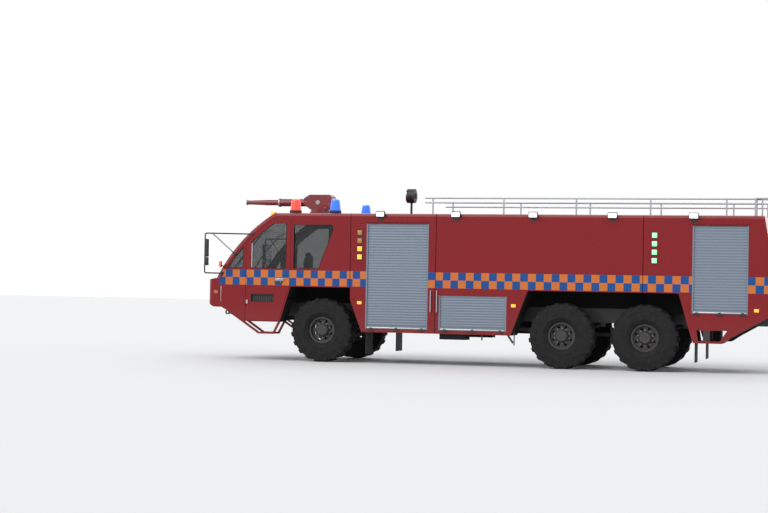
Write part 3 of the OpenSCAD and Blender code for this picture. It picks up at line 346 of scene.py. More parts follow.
def liveried_paint(name, first_blue, pair_pitch, band_front, under=None, lined=False, deck=False):
    """Fire red paint with the band of squares; first_blue is the middle of a blue top square.

    under gives the stretch of X with black below the arches (underbody coating, and painted shade under the
    body), lined the cab's lining, deck the tread plate.
    """
    mat, tree, shader, place = new_finish(name)
    cloud = noise(tree, place, 0.9, 5.0, 0.55)
    paint = blend_colour(tree, cloud, tuple(c * 0.84 for c in FIRE_RED) + (1.0,), FIRE_RED + (1.0,))
    x, y, z = wire(tree, "ShaderNodeSeparateXYZ", i0=place).outputs
    along = math_node(tree, "DIVIDE", math_node(tree, "SUBTRACT", x, first_blue), pair_pitch)
    along = math_node(tree, "FRACT", math_node(tree, "ADD", along, 100.25))
    top_row = math_node(tree, "GREATER_THAN", z, BAND_MIDDLE)
    blue = math_node(tree, "LESS_THAN", along, 0.5)
    differ = math_node(tree, "ABSOLUTE", math_node(tree, "SUBTRACT", blue, top_row))
    foil = blend_colour(tree, differ, FOIL_BLUE, FOIL_ORANGE)
    on_side = math_node(tree, "GREATER_THAN", math_node(tree, "ABSOLUTE", y), PAINT_EDGE_Y)
    start = math_node(tree, "ADD", band_front, times(tree, top_row, TOP_ROW_SETBACK))
    shown = every(tree, within(tree, z, BAND_LOW, BAND_TOP), on_side,
                  math_node(tree, "GREATER_THAN", x, start))
    base = blend_colour(tree, shown, paint, foil)
    share = road_dust(tree, place, 0.45, 1.35, 0.22)
    base = blend_colour(tree, share, base, PAINT_DUST)
    rough = spread(tree, cloud, 0.3, 0.7, 0.26, 0.34)
    rough = math_node(tree, "ADD", rough, times(tree, share, 0.6), clamp=True)
    height = shown
    # Black below the arches and under the body: underbody coating, and painted shade where the body shades
    # these faces.
    if under:
        underbody_and_shade = every(tree, within(tree, x, FRONT_AXLE_X + under[0], FRONT_AXLE_X + under[1]),
                       within(tree, y, -SKIN_Y, SKIN_Y), within(tree, z, 0.0, ARCH_TOP_Z))
        base = blend_colour(tree, underbody_and_shade, base, PAINTED_BLACK)
        rough = math_node(tree, "MAXIMUM", rough, times(tree, underbody_and_shade, 0.85))
    if lined:
        flat = wire(tree, "ShaderNodeCombineXYZ", i0=x, i1=0.0, i2=z).outputs[0]
        near = wire(tree, "ShaderNodeVectorMath", {"operation": "DISTANCE"}, i0=flat,
                    i1=at(screen_centre.x, 0.0, screen_centre.y))
        inner = every(tree, within(tree, near.outputs["Value"], 0.0, SCREEN_R - SCREEN_DEPTH),
                      within(tree, y, -CAB_HALF, CAB_HALF), within(tree, z, CAB_FLOOR_Z, CAB_CEILING_Z),
                      within(tree, x, FRONT_AXLE_X - 3.0, FRONT_AXLE_X + CAB_REAR_X))
        base = blend_colour(tree, inner, base, LINING_GREY)
        rough = math_node(tree, "MAXIMUM", rough, times(tree, inner, 0.9))
    if deck:
        tread = every(tree, within(tree, z, ROOF_Z + 0.0012, ROOF_Z + 0.02),
                      within(tree, y, -DECK_HALF, DECK_HALF))
        base = blend_colour(tree, tread, base, TREAD_GREY)
        rough = math_node(tree, "MAXIMUM", rough, times(tree, tread, 0.5))
        rib = [math_node(tree, "SINE", times(tree, math_node(tree, kind, x, y), 70.0))
               for kind in ("ADD", "SUBTRACT")]
        lozenge = math_node(tree, "ABSOLUTE", times(tree, *rib))
        lozenge = math_node(tree, "GREATER_THAN", lozenge, 0.55)
        height = math_node(tree, "ADD", shown, every(tree, tread, lozenge))
    grain = noise(tree, place, 240.0, 2.0)
    edge = wire(tree, "ShaderNodeBump", Strength=0.25, Distance=0.0008, Height=height)
    bump = wire(tree, "ShaderNodeBump", Strength=0.02, Distance=0.002, Height=grain, Normal=edge.outputs[0])
    gloss = PAINT_GLOSS
    if under or lined:
        dull = underbody_and_shade if not lined else math_node(tree, "MAXIMUM", underbody_and_shade, inner)
        gloss = times(tree, math_node(tree, "SUBTRACT", 1.0, dull), PAINT_GLOSS)
    feed(shader, {"Base Color": base, "Roughness": rough, "Normal": bump.outputs[0],
                  "Specular IOR Level": 0.25, "Coat Weight": gloss, "Coat Roughness": 0.06})
    return mat


CAB_BAND = (FRONT_AXLE_X - 1.759, 0.3216, FRONT_AXLE_X - 2.31)
BODY_BAND = (FRONT_AXLE_X + 2.745, 0.3268, FRONT_AXLE_X)
coat_node(liveried_paint("cab_paint", *CAB_BAND, under=(-2.245, 0.70), lined=True), "cab_body", "door_left",
          "door_right")
coat_node(liveried_paint("nose_paint", *CAB_BAND), "nose_panel")
coat_node(liveried_paint("body_paint", *BODY_BAND, under=(0.60, 9.336), deck=True), "locker_body",
          "tank_body", "rear_body", "rear_lockers")
frame_red = liveried_paint("frame_red", *BODY_BAND)
coat_node(frame_red, "step_frames", "engine_lid")

# Panes: laminated screen and toughened side windows, lightly tinted grey-green,
# bonded into black rubber channels.
pane_glass, tree, shader, place = new_finish("pane_glass")
film = noise(tree, place, 2.5, 4.0)
tint = blend_colour(tree, film, (0.010, 0.014, 0.016, 1.0), (0.020, 0.026, 0.028, 1.0))
feed(shader, {"Base Color": tint, "Roughness": spread(tree, film, 0.35, 0.7, 0.02, 0.05), "Alpha": 0.46,
              "Specular IOR Level": 0.5})
pane_glass.surface_render_method = "BLENDED"
coat_node(pane_glass, "cab_glass", "door_glass_left", "door_glass_right")

# Window rubbers: black glazing channel round each side window and the curved screen,
# one closed strip a window, pressed over the panel's edge from outside.


def on_screen(z, inward):
    """X from the front axle of the windscreen's circle, moved inward."""
    return screen_centre.x - math.sqrt((SCREEN_R - inward) ** 2 - (z - screen_centre.y) ** 2)


def screen_edge(z0, z1, inward, count=14):
    """Points (X, Z) up the windscreen's circle."""
    heights = [z0 + (z1 - z0) * i / count for i in range(count + 1)]
    return [(on_screen(z, inward), z) for z in heights]


def z_on_screen(x, inward):
    """Z of the windscreen's circle, moved inward."""
    return screen_centre.y + math.sqrt((SCREEN_R - inward) ** 2 - (x - screen_centre.x) ** 2)


PANE_FRONT_X, PANE_REAR_X, PANE_INSET = -1.590, -0.790, 0.190
QUARTER_X, QUARTER_FOOT_Z, QUARTER_INSET = -1.762, 1.971, 0.125
PANE_FOOT_Z = SCREEN_FOOT_Z + 0.222
door_top = PANE_FOOT_Z + 0.977
door_pane = [(PANE_FRONT_X, PANE_FOOT_Z)]
door_pane += screen_edge(z_on_screen(PANE_FRONT_X, PANE_INSET), door_top, PANE_INSET)
door_pane += [(PANE_REAR_X, door_top), (PANE_REAR_X, PANE_FOOT_Z)]
quarter_pane = screen_edge(QUARTER_FOOT_Z, z_on_screen(QUARTER_X, QUARTER_INSET), QUARTER_INSET)
quarter_pane += [(QUARTER_X, QUARTER_FOOT_Z)]
rear_pane = [(-0.630, 1.975), (-0.630, 2.914), (0.236, 2.914), (0.261, 2.830), (-0.060, 1.975)]
gasket_rubber = rubber_finish("gasket_rubber", (0.012, 0.012, 0.013), 0.55)


def gasket(name, outline, side, body, width=0.022, proud=0.0075):
    """A closed rubber strip round a window's outline, raised from the panel, with rounded edges."""
    bm = bmesh.new()
    bm.faces.new([bm.verts.new(at(x, side * SKIN_Y, z)) for x, z in outline])
    bmesh.ops.remove_doubles(bm, verts=bm.verts, dist=0.004)
    pane = bm.faces[:][0]
    bmesh.ops.inset_region(bm, faces=[pane], thickness=width * 0.55, use_outset=True, use_even_offset=True,
                           use_boundary=True)
    bmesh.ops.inset_region(bm, faces=[pane], thickness=width * 0.45, use_even_offset=True, use_boundary=True)
    bmesh.ops.delete(bm, geom=[pane], context="FACES_ONLY")
    out = bmesh.ops.extrude_face_region(bm, geom=bm.faces[:])["geom"]
    raised = [g for g in out if isinstance(g, bmesh.types.BMVert)]
    bmesh.ops.translate(bm, vec=(0, side * proud, 0), verts=raised)
    bmesh.ops.remove_doubles(bm, verts=bm.verts, dist=0.0001)
    raised = set(raised)
    top = [e for e in bm.edges if raised.issuperset(e.verts) and len(e.link_faces) == 2
           and abs(e.calc_face_angle(0.0)) > 0.8]
    bmesh.ops.bevel(bm, geom=top, offset=0.003, offset_type="OFFSET", segments=2, profile=0.5, affect="EDGES",
                    clamp_overlap=True, material=-1)
    piece_from(bm, name, gasket_rubber, body)


for side_name, side in SIDES:
    gasket("door_window_rubber_" + side_name, door_pane, side, "door_" + side_name)
    gasket("quarter_window_rubber_" + side_name, quarter_pane, side, "root")
    gasket("rear_window_rubber_" + side_name, rear_pane, side, "root")

# Windscreen rubber and wipers: a black bead round the curved screen, and two wipers with
# long blades that follow the curve, on spindles below the glass.
SCREEN_EDGE_Y, SPINDLE_Z = 1.350, 1.790
bm = bmesh.new()
rim_path = [at(x, -SCREEN_EDGE_Y, z) for x, z in screen_edge(1.835, 3.050, 0.004, 24)]
rim_path += [(x, -y, z) for x, y, z in reversed(rim_path)]
swept(bm, rim_path, 0.011, closed=True)
piece_from(bm, "windscreen_rubber", gasket_rubber, "root")
bm = bmesh.new()
for y in (-0.660, 0.660):
    blade_y = y * 0.86
    swept(bm, [at(x, blade_y, z) for x, z in screen_edge(1.98, 2.82, -0.006, 14)], 0.007)
    swept(bm, [at(x, blade_y, z) for x, z in screen_edge(2.10, 2.70, -0.020, 10)], 0.005)
    swept(bm, [at(on_screen(z, inward), path_y, z) for z, inward, path_y in (
        (SPINDLE_Z, -0.022, y), (1.95, -0.030, y), (2.40, -0.026, blade_y))], 0.009)
    stud(bm, (0.030, 0.024, 0.040), at(on_screen(SPINDLE_Z, -0.016), y, SPINDLE_Z), (-1, 0, 0), 20)
piece_from(bm, "wipers", gasket_rubber, "root")

# Door furniture: a silver paddle handle over a black key plate, a ribbed black liner in the
# foothold, black enough to serve also as painted shade of the recess, zinc hinge pins with cap
# leaves, and an aluminium channel down the window's edge.
nut_zinc = coated_metal("nut_zinc", (0.34, 0.35, 0.37), 0.4, metallic=0.9, peel=0.04, dust=0.3)
bright_aluminium = coated_metal("bright_aluminium", (0.55, 0.57, 0.60), 0.3, metallic=0.7, dust=0.1)
black_plastic = coated_metal("black_plastic", (0.018, 0.018, 0.02), 0.5, peel=0.12, peel_scale=400.0,
                             dust=0.2)
FOOTHOLD_X, FOOTHOLD_Z, HANDLE_Z = -1.320, 1.335, 1.732
HINGE_X, CHANNEL_FOOT_Z = -1.704, 1.985


def beside(x, side, proud, z):
    """A point as far outside the body's left or right side as proud says."""
    return at(x, side * (HALF_WIDTH + proud), z)


for side_name, side in SIDES:
    bm = bmesh.new()
    # A thin black sheet at the back of the foothold recess, with ribs and frame bars: a liner, and painted
    # shade of the recess.
    block(bm, (0.470, 0.004, 0.160), beside(FOOTHOLD_X, side, -0.0425, FOOTHOLD_Z), 0.0015)
    for z in (1.262, 1.408):
        block(bm, (0.470, 0.044, 0.012), beside(FOOTHOLD_X, side, -0.020, z), 0.003)
    for x in (-1.572, -1.068):
        block(bm, (0.012, 0.044, 0.158), beside(x, side, -0.020, FOOTHOLD_Z), 0.003)
    for i in range(9):
        block(bm, (0.008, 0.012, 0.120), beside(-1.520 + i * 0.05, side, -0.036, FOOTHOLD_Z), 0.002)
    block(bm, (0.150, 0.022, 0.042), beside(-0.945, side, 0.014, 1.680), 0.006, segments=2)
    piece_from(bm, "foothold_liner_and_shade_" + side_name, black_plastic, "door_" + side_name)
    bm = bmesh.new()
    block(bm, (0.196, 0.030, 0.060), beside(-0.930, side, 0.015, HANDLE_Z), 0.009, segments=3)
    block(bm, (0.110, 0.008, 0.026), beside(-0.955, side, 0.031, HANDLE_Z + 0.004), 0.003, segments=2)
    stud(bm, (0.012, 0.011, 0.006), beside(-0.900, side, 0.027, 1.680), (0, -1, 0), 16)
    for z in (1.250, 1.880):
        for dz in (-0.078, 0.078):
            stud(bm, (0.011, 0.009, 0.010), beside(HINGE_X, side, 0.016, z + dz), corners=20)
        if z < 1.5:
            block(bm, (0.044, 0.004, 0.084), beside(-1.660, side, 0.0175, z), 0.0015)
    piece_from(bm, "door_paddle_" + side_name, nut_zinc, "door_" + side_name)
    bm = bmesh.new()
    top = z_on_screen(PANE_FRONT_X, PANE_INSET) - 0.020
    middle = beside(PANE_FRONT_X + 0.016, side, -0.004, (top + CHANNEL_FOOT_Z) / 2)
    block(bm, (0.024, 0.006, top - CHANNEL_FOOT_Z), middle, 0.002)
    piece_from(bm, "window_channel_" + side_name, bright_aluminium, "door_" + side_name)

# Crew seats: five suspension seats in dark grey cloth over moulded foam, with side rolls,
# sewn channels and a head pad, each on a black pedestal bolted to the cab floor.
seat_cloth, tree, shader, place = new_finish("seat_cloth")
weave_a = wire(tree, "ShaderNodeTexWave", {"bands_direction": "X"}, Vector=place, Scale=130.0, Distortion=0.4)
weave_b = wire(tree, "ShaderNodeTexWave", {"bands_direction": "Z"}, Vector=place, Scale=130.0, Distortion=0.4)
weave = times(tree, weave_a.outputs[1], weave_b.outputs[1])
emboss(tree, shader, weave, 0.5, 0.001)
thread = blend_colour(tree, weave, (0.030, 0.033, 0.040, 1.0), (0.075, 0.080, 0.092, 1.0))
feed(shader, {"Base Color": thread, "Roughness": 0.92, "Sheen Weight": 0.25})


def put(bm, verts, centre, angle=0.0, axis="Z"):
    """Turns points about an axis through the origin, then moves them into place."""
    bmesh.ops.rotate(bm, cent=(0, 0, 0), matrix=Matrix.Rotation(angle, 3, axis), verts=verts)
    bmesh.ops.translate(bm, vec=centre, verts=verts)


def foam_pad(bm, size, centre, tilt=0.0, roll=0.0, channels=()):
    """A crowned pad: rounded edges, sides drawn in, raised side rolls and sewn channels across."""
    bmesh.ops.create_cube(bm, size=2.0)
    bmesh.ops.subdivide_edges(bm, edges=bm.edges[:], cuts=9, use_grid_fill=True)
    made = bm.verts[:]
    for v in made:
        u, w, t = v.co
        round_off = 1.0 - 0.16 * (abs(u * w) ** 6 + abs(w * t) ** 6 + abs(u * t) ** 6)
        crown = 1.0 + 0.10 * (1.0 - u * u) * (1.0 - w * w)
        v.co = Vector((u * round_off * (1.0 - 0.04 * (1 - w * w)), w * round_off, t * round_off * crown))
        if t > 0.3:
            v.co.z += roll * max(0.0, (abs(w) - 0.55) / 0.45)
            v.co.z -= sum(0.16 * math.exp(-((u - c) / 0.07) ** 2) for c in channels) * (abs(w) < 0.62)
    bmesh.ops.scale(bm, vec=[s / 2 for s in size], verts=made)
    put(bm, made, centre, tilt, "Y")


belt_webbing = rubber_finish("belt_webbing", (0.36, 0.018, 0.014), 0.8)
seat_places = [(-1.000, -0.780, 1.300), (-1.000, 0.780, 1.300), (0.300, -0.900, 1.670), (0.300, 0.0, 1.670),
               (0.300, 0.900, 1.670)]
for number, (x, y, z) in enumerate(seat_places, 1):
    x += FRONT_AXLE_X
    for part, size, centre, tilt, roll, channels in (
            ("base", (0.46, 0.46, 0.120), (x - 0.262, y, z + 0.366), 0.0, 0.22, (-0.35, 0.15)),
            ("back", (0.56, 0.44, 0.090), (x - 0.055, y, z + 0.690), -math.pi / 2, 0.25, (-0.4, 0.0, 0.4)),
            ("head", (0.15, 0.26, 0.080), (x - 0.055, y, z + 0.995), -math.pi / 2, 0.0, ())):
        bm = bmesh.new()
        foam_pad(bm, size, centre, tilt, roll, channels)
        pad = piece_from(bm, f"seat_{part}_{number}", seat_cloth, "root", 80.0)
        soften = pad.modifiers.new("soften", "SUBSURF")
        soften.levels = soften.render_levels = 1
        if number == 1 and part == "base":
            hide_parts("seats")
    bm = bmesh.new()
    block(bm, (0.34, 0.34, 0.285), (x - 0.24, y, z + 0.1425), 0.012, segments=2)
    block(bm, (0.44, 0.42, 0.018), (x - 0.252, y, z + 0.295), 0.004)
    block(bm, (0.012, 0.38, 0.620), (x - 0.006, y, z + 0.700), 0.004)
    for dy in (-0.06, 0.06):
        stud(bm, (0.007, 0.007, 0.2), (x - 0.055, y + dy, z + 0.955), corners=12)
    piece_from(bm, f"seat_pedestal_{number}", black_plastic, "root")
    lean = Matrix.Rotation(-0.42 if y > 0 else 0.42, 3, "X")
    bm = bmesh.new()
    block(bm, (0.004, 0.046, 0.560), (x - 0.118, y, z + 0.730), 0.0012, lean)
    piece_from(bm, f"seat_belt_{number}", belt_webbing, "root")

# Shutters: interlocking aluminium slats that roll up on a drum behind the roof edge,
# natural anodised, running in side rails, with a lift bar across the foot.
slat_aluminium = coated_metal("slat_aluminium", (0.18, 0.215, 0.27), 0.5, metallic=0.25, peel=0.03,
                              peel_scale=90.0, dust=0.15)
coat_node(slat_aluminium, "roller_shutters")

# Shutter furniture: a bright sill strip, three black folding latches with pull bars under each
# lift bar, and a drip rail of folded sheet in body colour riveted over each tall shutter.
shutters = [(0.995, 2.344, 0.730, 2.940), (2.585, 4.020, 0.730, 1.460), (7.790, 8.8896, 1.190, 2.945)]
for side_name, side in SIDES:
    latches, sills, rails = bmesh.new(), bmesh.new(), bmesh.new()
    for x0, x1, z0, z1 in shutters:
        mid, wide = (x0 + x1) / 2, x1 - x0
        block(latches, (wide - 0.06, 0.006, 0.014), beside(mid, side, -0.003, z0 + 0.006), 0.002)
        block(sills, (wide - 0.07, 0.010, 0.026), beside(mid, side, 0.001, z0 + 0.026), 0.003, segments=2)
        for share in (0.09, 0.5, 0.91):
            x = x0 + wide * share
            for size, proud, dz, bevel in (((0.150, 0.012, 0.026), 0.006, -0.006, 0.004),
                                           ((0.056, 0.020, 0.056), 0.010, 0.006, 0.006)):
                block(latches, size, beside(x, side, proud, z0 + dz), bevel, segments=2)
            swept(latches, [beside(x + dx, side, proud, z0 - 0.008 - dz) for dx, proud, dz in (
                (-0.066, 0.010, 0.0), (-0.060, 0.019, 0.010), (-0.045, 0.020, 0.016), (0.045, 0.020, 0.016),
                (0.060, 0.019, 0.010), (0.066, 0.010, 0.0))], 0.005)
        if z1 > BAND_TOP:
            block(rails, (wide + 0.05, 0.020, 0.006), beside(mid, side, 0.010, z1 + 0.030), 0.002)
            block(rails, (wide + 0.05, 0.004, 0.030), beside(mid, side, 0.0015, z1 + 0.042), 0.001)
    piece_from(latches, "shutter_latches_" + side_name, black_plastic, "root")
    piece_from(sills, "shutter_sills_" + side_name, bright_aluminium, "root")
    piece_from(rails, "drip_rails_" + side_name, frame_red, "root")

# Roof rails, grab rails and rear ladder: drawn aluminium tube, bent and welded, left bare,
# bolted to roof and panels through round feet.
tube_aluminium = coated_metal("tube_aluminium", (0.42, 0.44, 0.47), 0.42, metallic=0.85, peel=0.05,
                              peel_scale=60.0)
coat_node(tube_aluminium, "roof_rails", "rear_ladder", "grab_rails")

# Dashboard, searchlight and mudflaps: moulded black plastic, a painted sheet steel drum, and
# cut sheets of black rubber hung behind the wheels.
flap_rubber = rubber_finish("flap_rubber", (0.016, 0.016, 0.017), 0.7)
coat_node(black_plastic, "dashboard", "searchlight", "mirrors")
coat_node(flap_rubber, "mudflaps")

# Water cannon: cast and welded aluminium, painted fire red with the cab, its turntable on a
# flanged base bolted to the roof.
cannon_paint = coated_metal("cannon_paint", (0.20, 0.005, 0.010), 0.34, 0.3, dust=0.0)
coat_node(cannon_paint, "cannon_base", "cannon_turntable", "cannon_barrel")


# Lamps: ribbed polycarbonate lenses over bright bowls in black housings, screwed to the
# panels and lit as in service; headlamps and nose indicators are off.
def lit_lens(name, colour, strength, roughness=0.2):
    """A lens with fine ribs that glows in its own colour."""
    mat, tree, shader, place = new_finish(name)
    ribs = wire(tree, "ShaderNodeTexWave", {"bands_direction": "Z"}, Vector=place, Scale=28.0, Distortion=0.0)
    base = blend_colour(tree, ribs.outputs[1], tuple(c * 0.85 for c in colour) + (1.0,), colour + (1.0,))
    feed(shader, {"Base Color": base, "Emission Color": base, "Emission Strength": strength,
                  "Roughness": roughness, "Coat Weight": 0.6})
    emboss(tree, shader, ribs.outputs[1], 0.3, 0.002)
    return mat


white_lens = lit_lens("white_lens", (1.0, 1.0, 0.98), 1.6)
clear_lens = lit_lens("clear_lens", (0.62, 0.64, 0.65), 0.12, 0.08)
AMBER, AMBER_POWER = (1.0, 0.36, 0.03), 1.3
amber_lens = lit_lens("amber_lens", AMBER, AMBER_POWER)
green_lens = lit_lens("green_lens", (0.25, 1.0, 0.35), 1.3)
red_lens = lit_lens("red_lens", (0.80, 0.03, 0.02), 0.4)
coat_node(clear_lens, "headlamps")
marker_lens = lit_lens("marker_lens", AMBER, AMBER_POWER)
tree = marker_lens.node_tree
shader = tree.nodes["Principled BSDF"]
place = wire(tree, "ShaderNodeSeparateXYZ", i0=wire(tree, "ShaderNodeTexCoord").outputs["Object"])
unlit = every(tree, within(tree, place.outputs["X"], FRONT_AXLE_X - 2.60, FRONT_AXLE_X - 2.28),
              within(tree, place.outputs["Z"], 1.30, 1.60))
feed(shader, {"Base Color": blend_colour(tree, unlit, AMBER + (1.0,), (0.40, 0.085, 0.03, 1.0)),
              "Emission Strength": times(tree, math_node(tree, "SUBTRACT", 1.0, unlit), AMBER_POWER)})
coat_node(marker_lens, "side_markers")
coat_node(red_lens, "tail_lamps")
coat_node(black_plastic, "flood_lamps", "foam_level_lamps", "water_level_lamps")

# Flood lamps: five work lights a side under the roof edge, cast black housings with cooling
# fins on top and a clear lens in a bezel, each on a pressed foot.
FLOOD_X, FLOOD_PITCH, FLOOD_Z = 1.300, 1.628, 3.142
for side_name, side in SIDES:
    glass, trim = bmesh.new(), bmesh.new()
    for i in range(5):
        x = FLOOD_X + i * FLOOD_PITCH
        block(glass, (0.166, 0.008, 0.092), beside(x, side, 0.080, FLOOD_Z), 0.003)
        for dz in (-0.051, 0.051):
            block(trim, (0.190, 0.012, 0.010), beside(x, side, 0.081, FLOOD_Z + dz), 0.003)
        for dx in (-0.090, 0.090):
            block(trim, (0.010, 0.0116, 0.100), beside(x + dx, side, 0.081, FLOOD_Z), 0.003)
        for j in range(8):
            fin = beside(x - 0.077 + j * 0.022, side, 0.040, FLOOD_Z + 0.064)
            block(trim, (0.004, 0.060, 0.012), fin, 0.001)
    piece_from(glass, "flood_lenses_" + side_name, white_lens, "root")
    piece_from(trim, "flood_bezels_" + side_name, black_plastic, "root")

# Level lamps: four square lenses a strip that show how full the foam tank (amber) and the
# water tank (green) are, in black surrounds. The two upper amber ones are dark.
amber_dark = lit_lens("amber_dark", (0.45, 0.17, 0.02), 0.0)
LEVEL_Z, LEVEL_PITCH = 2.240, 0.170
for side_name, side in SIDES:
    for name, x, rows, mat, slot in (("foam_lenses_lit_", 0.850, (0, 1), amber_lens, "lamp_amber"),
                                     ("foam_lenses_dark_", 0.850, (2, 3), amber_dark, "lamp_amber"),
                                     ("water_lenses_lit_", 7.035, (0, 1, 2, 3), green_lens, "lamp_green")):
        bm = bmesh.new()
        for i in rows:
            centre = beside(x, side, 0.0225, LEVEL_Z + i * LEVEL_PITCH)
            block(bm, (0.098, 0.008, 0.098), centre, 0.0035, segments=2)
        piece_from(bm, name + side_name, mat, "root")

# Beacons: ribbed polycarbonate domes over a turning mirror on black bases, screwed to the cab
# roof; the front pair red and the rear pair blue, all lit.
red_beacon = lit_lens("red_beacon", (1.0, 0.05, 0.03), 1.2)
blue_beacon = lit_lens("blue_beacon", (0.02, 0.12, 1.0), 1.2)
dome = [(0.0, 0.322), (0.050, 0.319), (0.080, 0.306), (0.090, 0.285)]
for i in range(9):
    r, z = 0.094 + 0.026 * (i / 8), 0.270 - 0.021 * i
    dome += [(r, z), (r - 0.004, z - 0.010)]
dome += [(0.118, 0.075), (0.0, 0.075)]
base = [(0.0, 0.074), (0.122, 0.074), (0.130, 0.066), (0.132, 0.050), (0.128, 0.012), (0.138, 0.010),
        (0.138, 0.0), (0.0, 0.0)]
for pair, x, mat, slot in (("front", -0.715, red_beacon, "lamp_red"),
                           ("rear", 0.180, blue_beacon, "lamp_blue")):
    for side_name, side in SIDES:
        for part, profile, finish, part_slot in (("dome", dome, mat, slot),
                                                 ("base", base, black_plastic, "black_plastic")):
            bm = bmesh.new()
            turn_profile(bm, profile, 48, closed=False)
            bmesh.ops.remove_doubles(bm, verts=bm.verts, dist=0.0002)
            put(bm, bm.verts, at(x, side * 1.150, ROOF_Z), math.pi / 2, "X")
            piece = piece_from(bm, f"beacon_{part}_{pair}_{side_name}", finish, "root", 30.0)
            if pair == "front" and side < 0 and part == "dome":
                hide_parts("beacons")

# Headlamp rings: chromed steel rings with a rolled edge, one clipped round each of the four
# lamps in the nose.
chrome = coated_metal("chrome", (0.62, 0.63, 0.65), 0.12, metallic=1.0, peel=0.0, dust=0.1)
ring = [(0.088, -0.004), (0.089, 0.001), (0.095, 0.0035), (0.104, 0.003), (0.110, 0.0), (0.110, -0.004)]
for side_name, side in SIDES:
    bm = bmesh.new()
    for y in (1.060, 0.830):
        start = len(bm.verts)
        turn_profile(bm, ring, 48)
        bm.verts.ensure_lookup_table()
        put(bm, bm.verts[start:], at(-2.5665, side * y, 1.450), math.pi / 2)
    piece_from(bm, "headlamp_rings_" + side_name, chrome, "root")

# Mirrors: bent steel tube arms, black coated, clamped to round feet behind the screen, with two
# moulded heads a side turned to the driver; each head holds silvered glass facing back.
mirror_glass = coated_metal("mirror_glass", (0.75, 0.78, 0.80), 0.03, metallic=1.0, peel=0.0, dust=0.05)
LOW_Z, BRACE_Z, HIGH_Z = 1.850, 2.270, 2.700
BEND_R = 0.040
HEADS = ((2.3845, 0.379), (2.098, 0.174))
for side_name, side in SIDES:
    turn = Matrix.Rotation(math.radians(-20.0 * side), 3, "Z")
    tube = Vector(at(-2.492, side * 1.900, 0.0))
    feet = {z: Vector(beside(on_screen(z, 0.090), side, 0.014, z)) for z in (LOW_Z, BRACE_Z, HIGH_Z)}
    bm = bmesh.new()
    path = []
    for z, inward in ((LOW_Z, 1), (HIGH_Z, -1)):
        corner = tube + Vector((0, 0, z))
        away = (feet[z] - corner).normalized()
        bend = [feet[z]]
        bend += [corner + BEND_R * (away * (1 - math.sin(a)) + Vector((0, 0, inward * (1 - math.cos(a)))))
                 for a in (i * math.pi / 10 for i in range(6))]
        path += bend if inward > 0 else bend[::-1]
    swept(bm, path, 0.0145, rounds=4)
    top = tube + Vector((0, 0, HIGH_Z))
    swept(bm, [top + 0.15 * (feet[HIGH_Z] - top), feet[BRACE_Z]], 0.010)
    for z, foot_place in feet.items():
        for radius, deep, proud in ((0.020, 0.028, 0.014), (0.032, 0.006, 0.003)):
            stud(bm, (radius, radius, deep), (foot_place.x, side * (HALF_WIDTH + proud), z), (0, -1, 0), 24)
    for z, high in HEADS:
        middle = turn @ Vector((0.040, 0, 0)) + tube + Vector((0, 0, z))
        block(bm, (0.096, 0.250, high), middle, 0.030, turn, segments=4)
    arms = piece_from(bm, "mirror_arms_" + side_name, black_plastic, "root")
    if side < 0:
        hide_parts("mirrors")
    bm = bmesh.new()
    for z, high in HEADS:
        middle = turn @ Vector((0.088, 0, 0)) + tube + Vector((0, 0, z))
        block(bm, (0.004, 0.196, high - 0.054), middle, 0.0015, turn)
    piece_from(bm, "mirror_faces_" + side_name, mirror_glass, "root")

# Corner lamps: small salmon lenses on short stalks in front of the screen pillars, beside the
# lower mirror arms.
salmon_lens = lit_lens("salmon_lens", (0.95, 0.20, 0.12), 0.5)
CORNER_X, CORNER_Y, CORNER_Z = -2.315, 1.455, 2.045
for side_name, side in SIDES:
    bm = bmesh.new()
    block(bm, (0.060, 0.046, 0.125), at(CORNER_X, side * CORNER_Y, CORNER_Z), 0.020, segments=4)
    piece_from(bm, "corner_lens_" + side_name, salmon_lens, "root")
    bm = bmesh.new()
    swept(bm, [at(-2.290, side * CORNER_Y, 2.030), at(-2.215, side * 1.452, 1.990)], 0.011)
    block(bm, (0.012, 0.052, 0.132), at(CORNER_X + 0.028, side * CORNER_Y, CORNER_Z), 0.004)
    piece_from(bm, "corner_lamp_foot_" + side_name, black_plastic, "root")

# Nose end strips: slim zinc-plated mouldings, riveted up the joint of the rounded nose corner
# on both sides.
bm = bmesh.new()
for side in (-1, 1):
    block(bm, (0.014, 0.006, 0.340), beside(-2.263, side, 0.001, 1.406), 0.002, segments=2)
piece_from(bm, "nose_end_strips", nut_zinc, "root")

# Under the tank section: two drain pipes and a slanted stay of round bar below the left sill,
# and the black holders of the rear mudflaps on the skirt's posts.
HOLDER_X, HOLDER_Z = 8.090, 0.755
bm = bmesh.new()
for side in (-1, 1):
    block(bm, (0.120, 0.006, 0.210), beside(HOLDER_X, side, 0.002, HOLDER_Z), 0.002)
    for dz in (-0.08, 0.08):
        stud(bm, (0.010, 0.009, 0.007), beside(HOLDER_X, side, 0.008, HOLDER_Z + dz), (0, side, 0))
for path, radius in ((((3.503, 0.700), (3.503, 0.548)), 0.016), (((4.180, 0.740), (4.182, 0.458)), 0.012),
                     (((4.040, 0.700), (4.066, 0.640), (4.158, 0.506)), 0.022)):
    swept(bm, [at(x, -1.440, z) for x, z in path], radius)
piece_from(bm, "drain_pipes_and_flap_holders", black_plastic, "root")

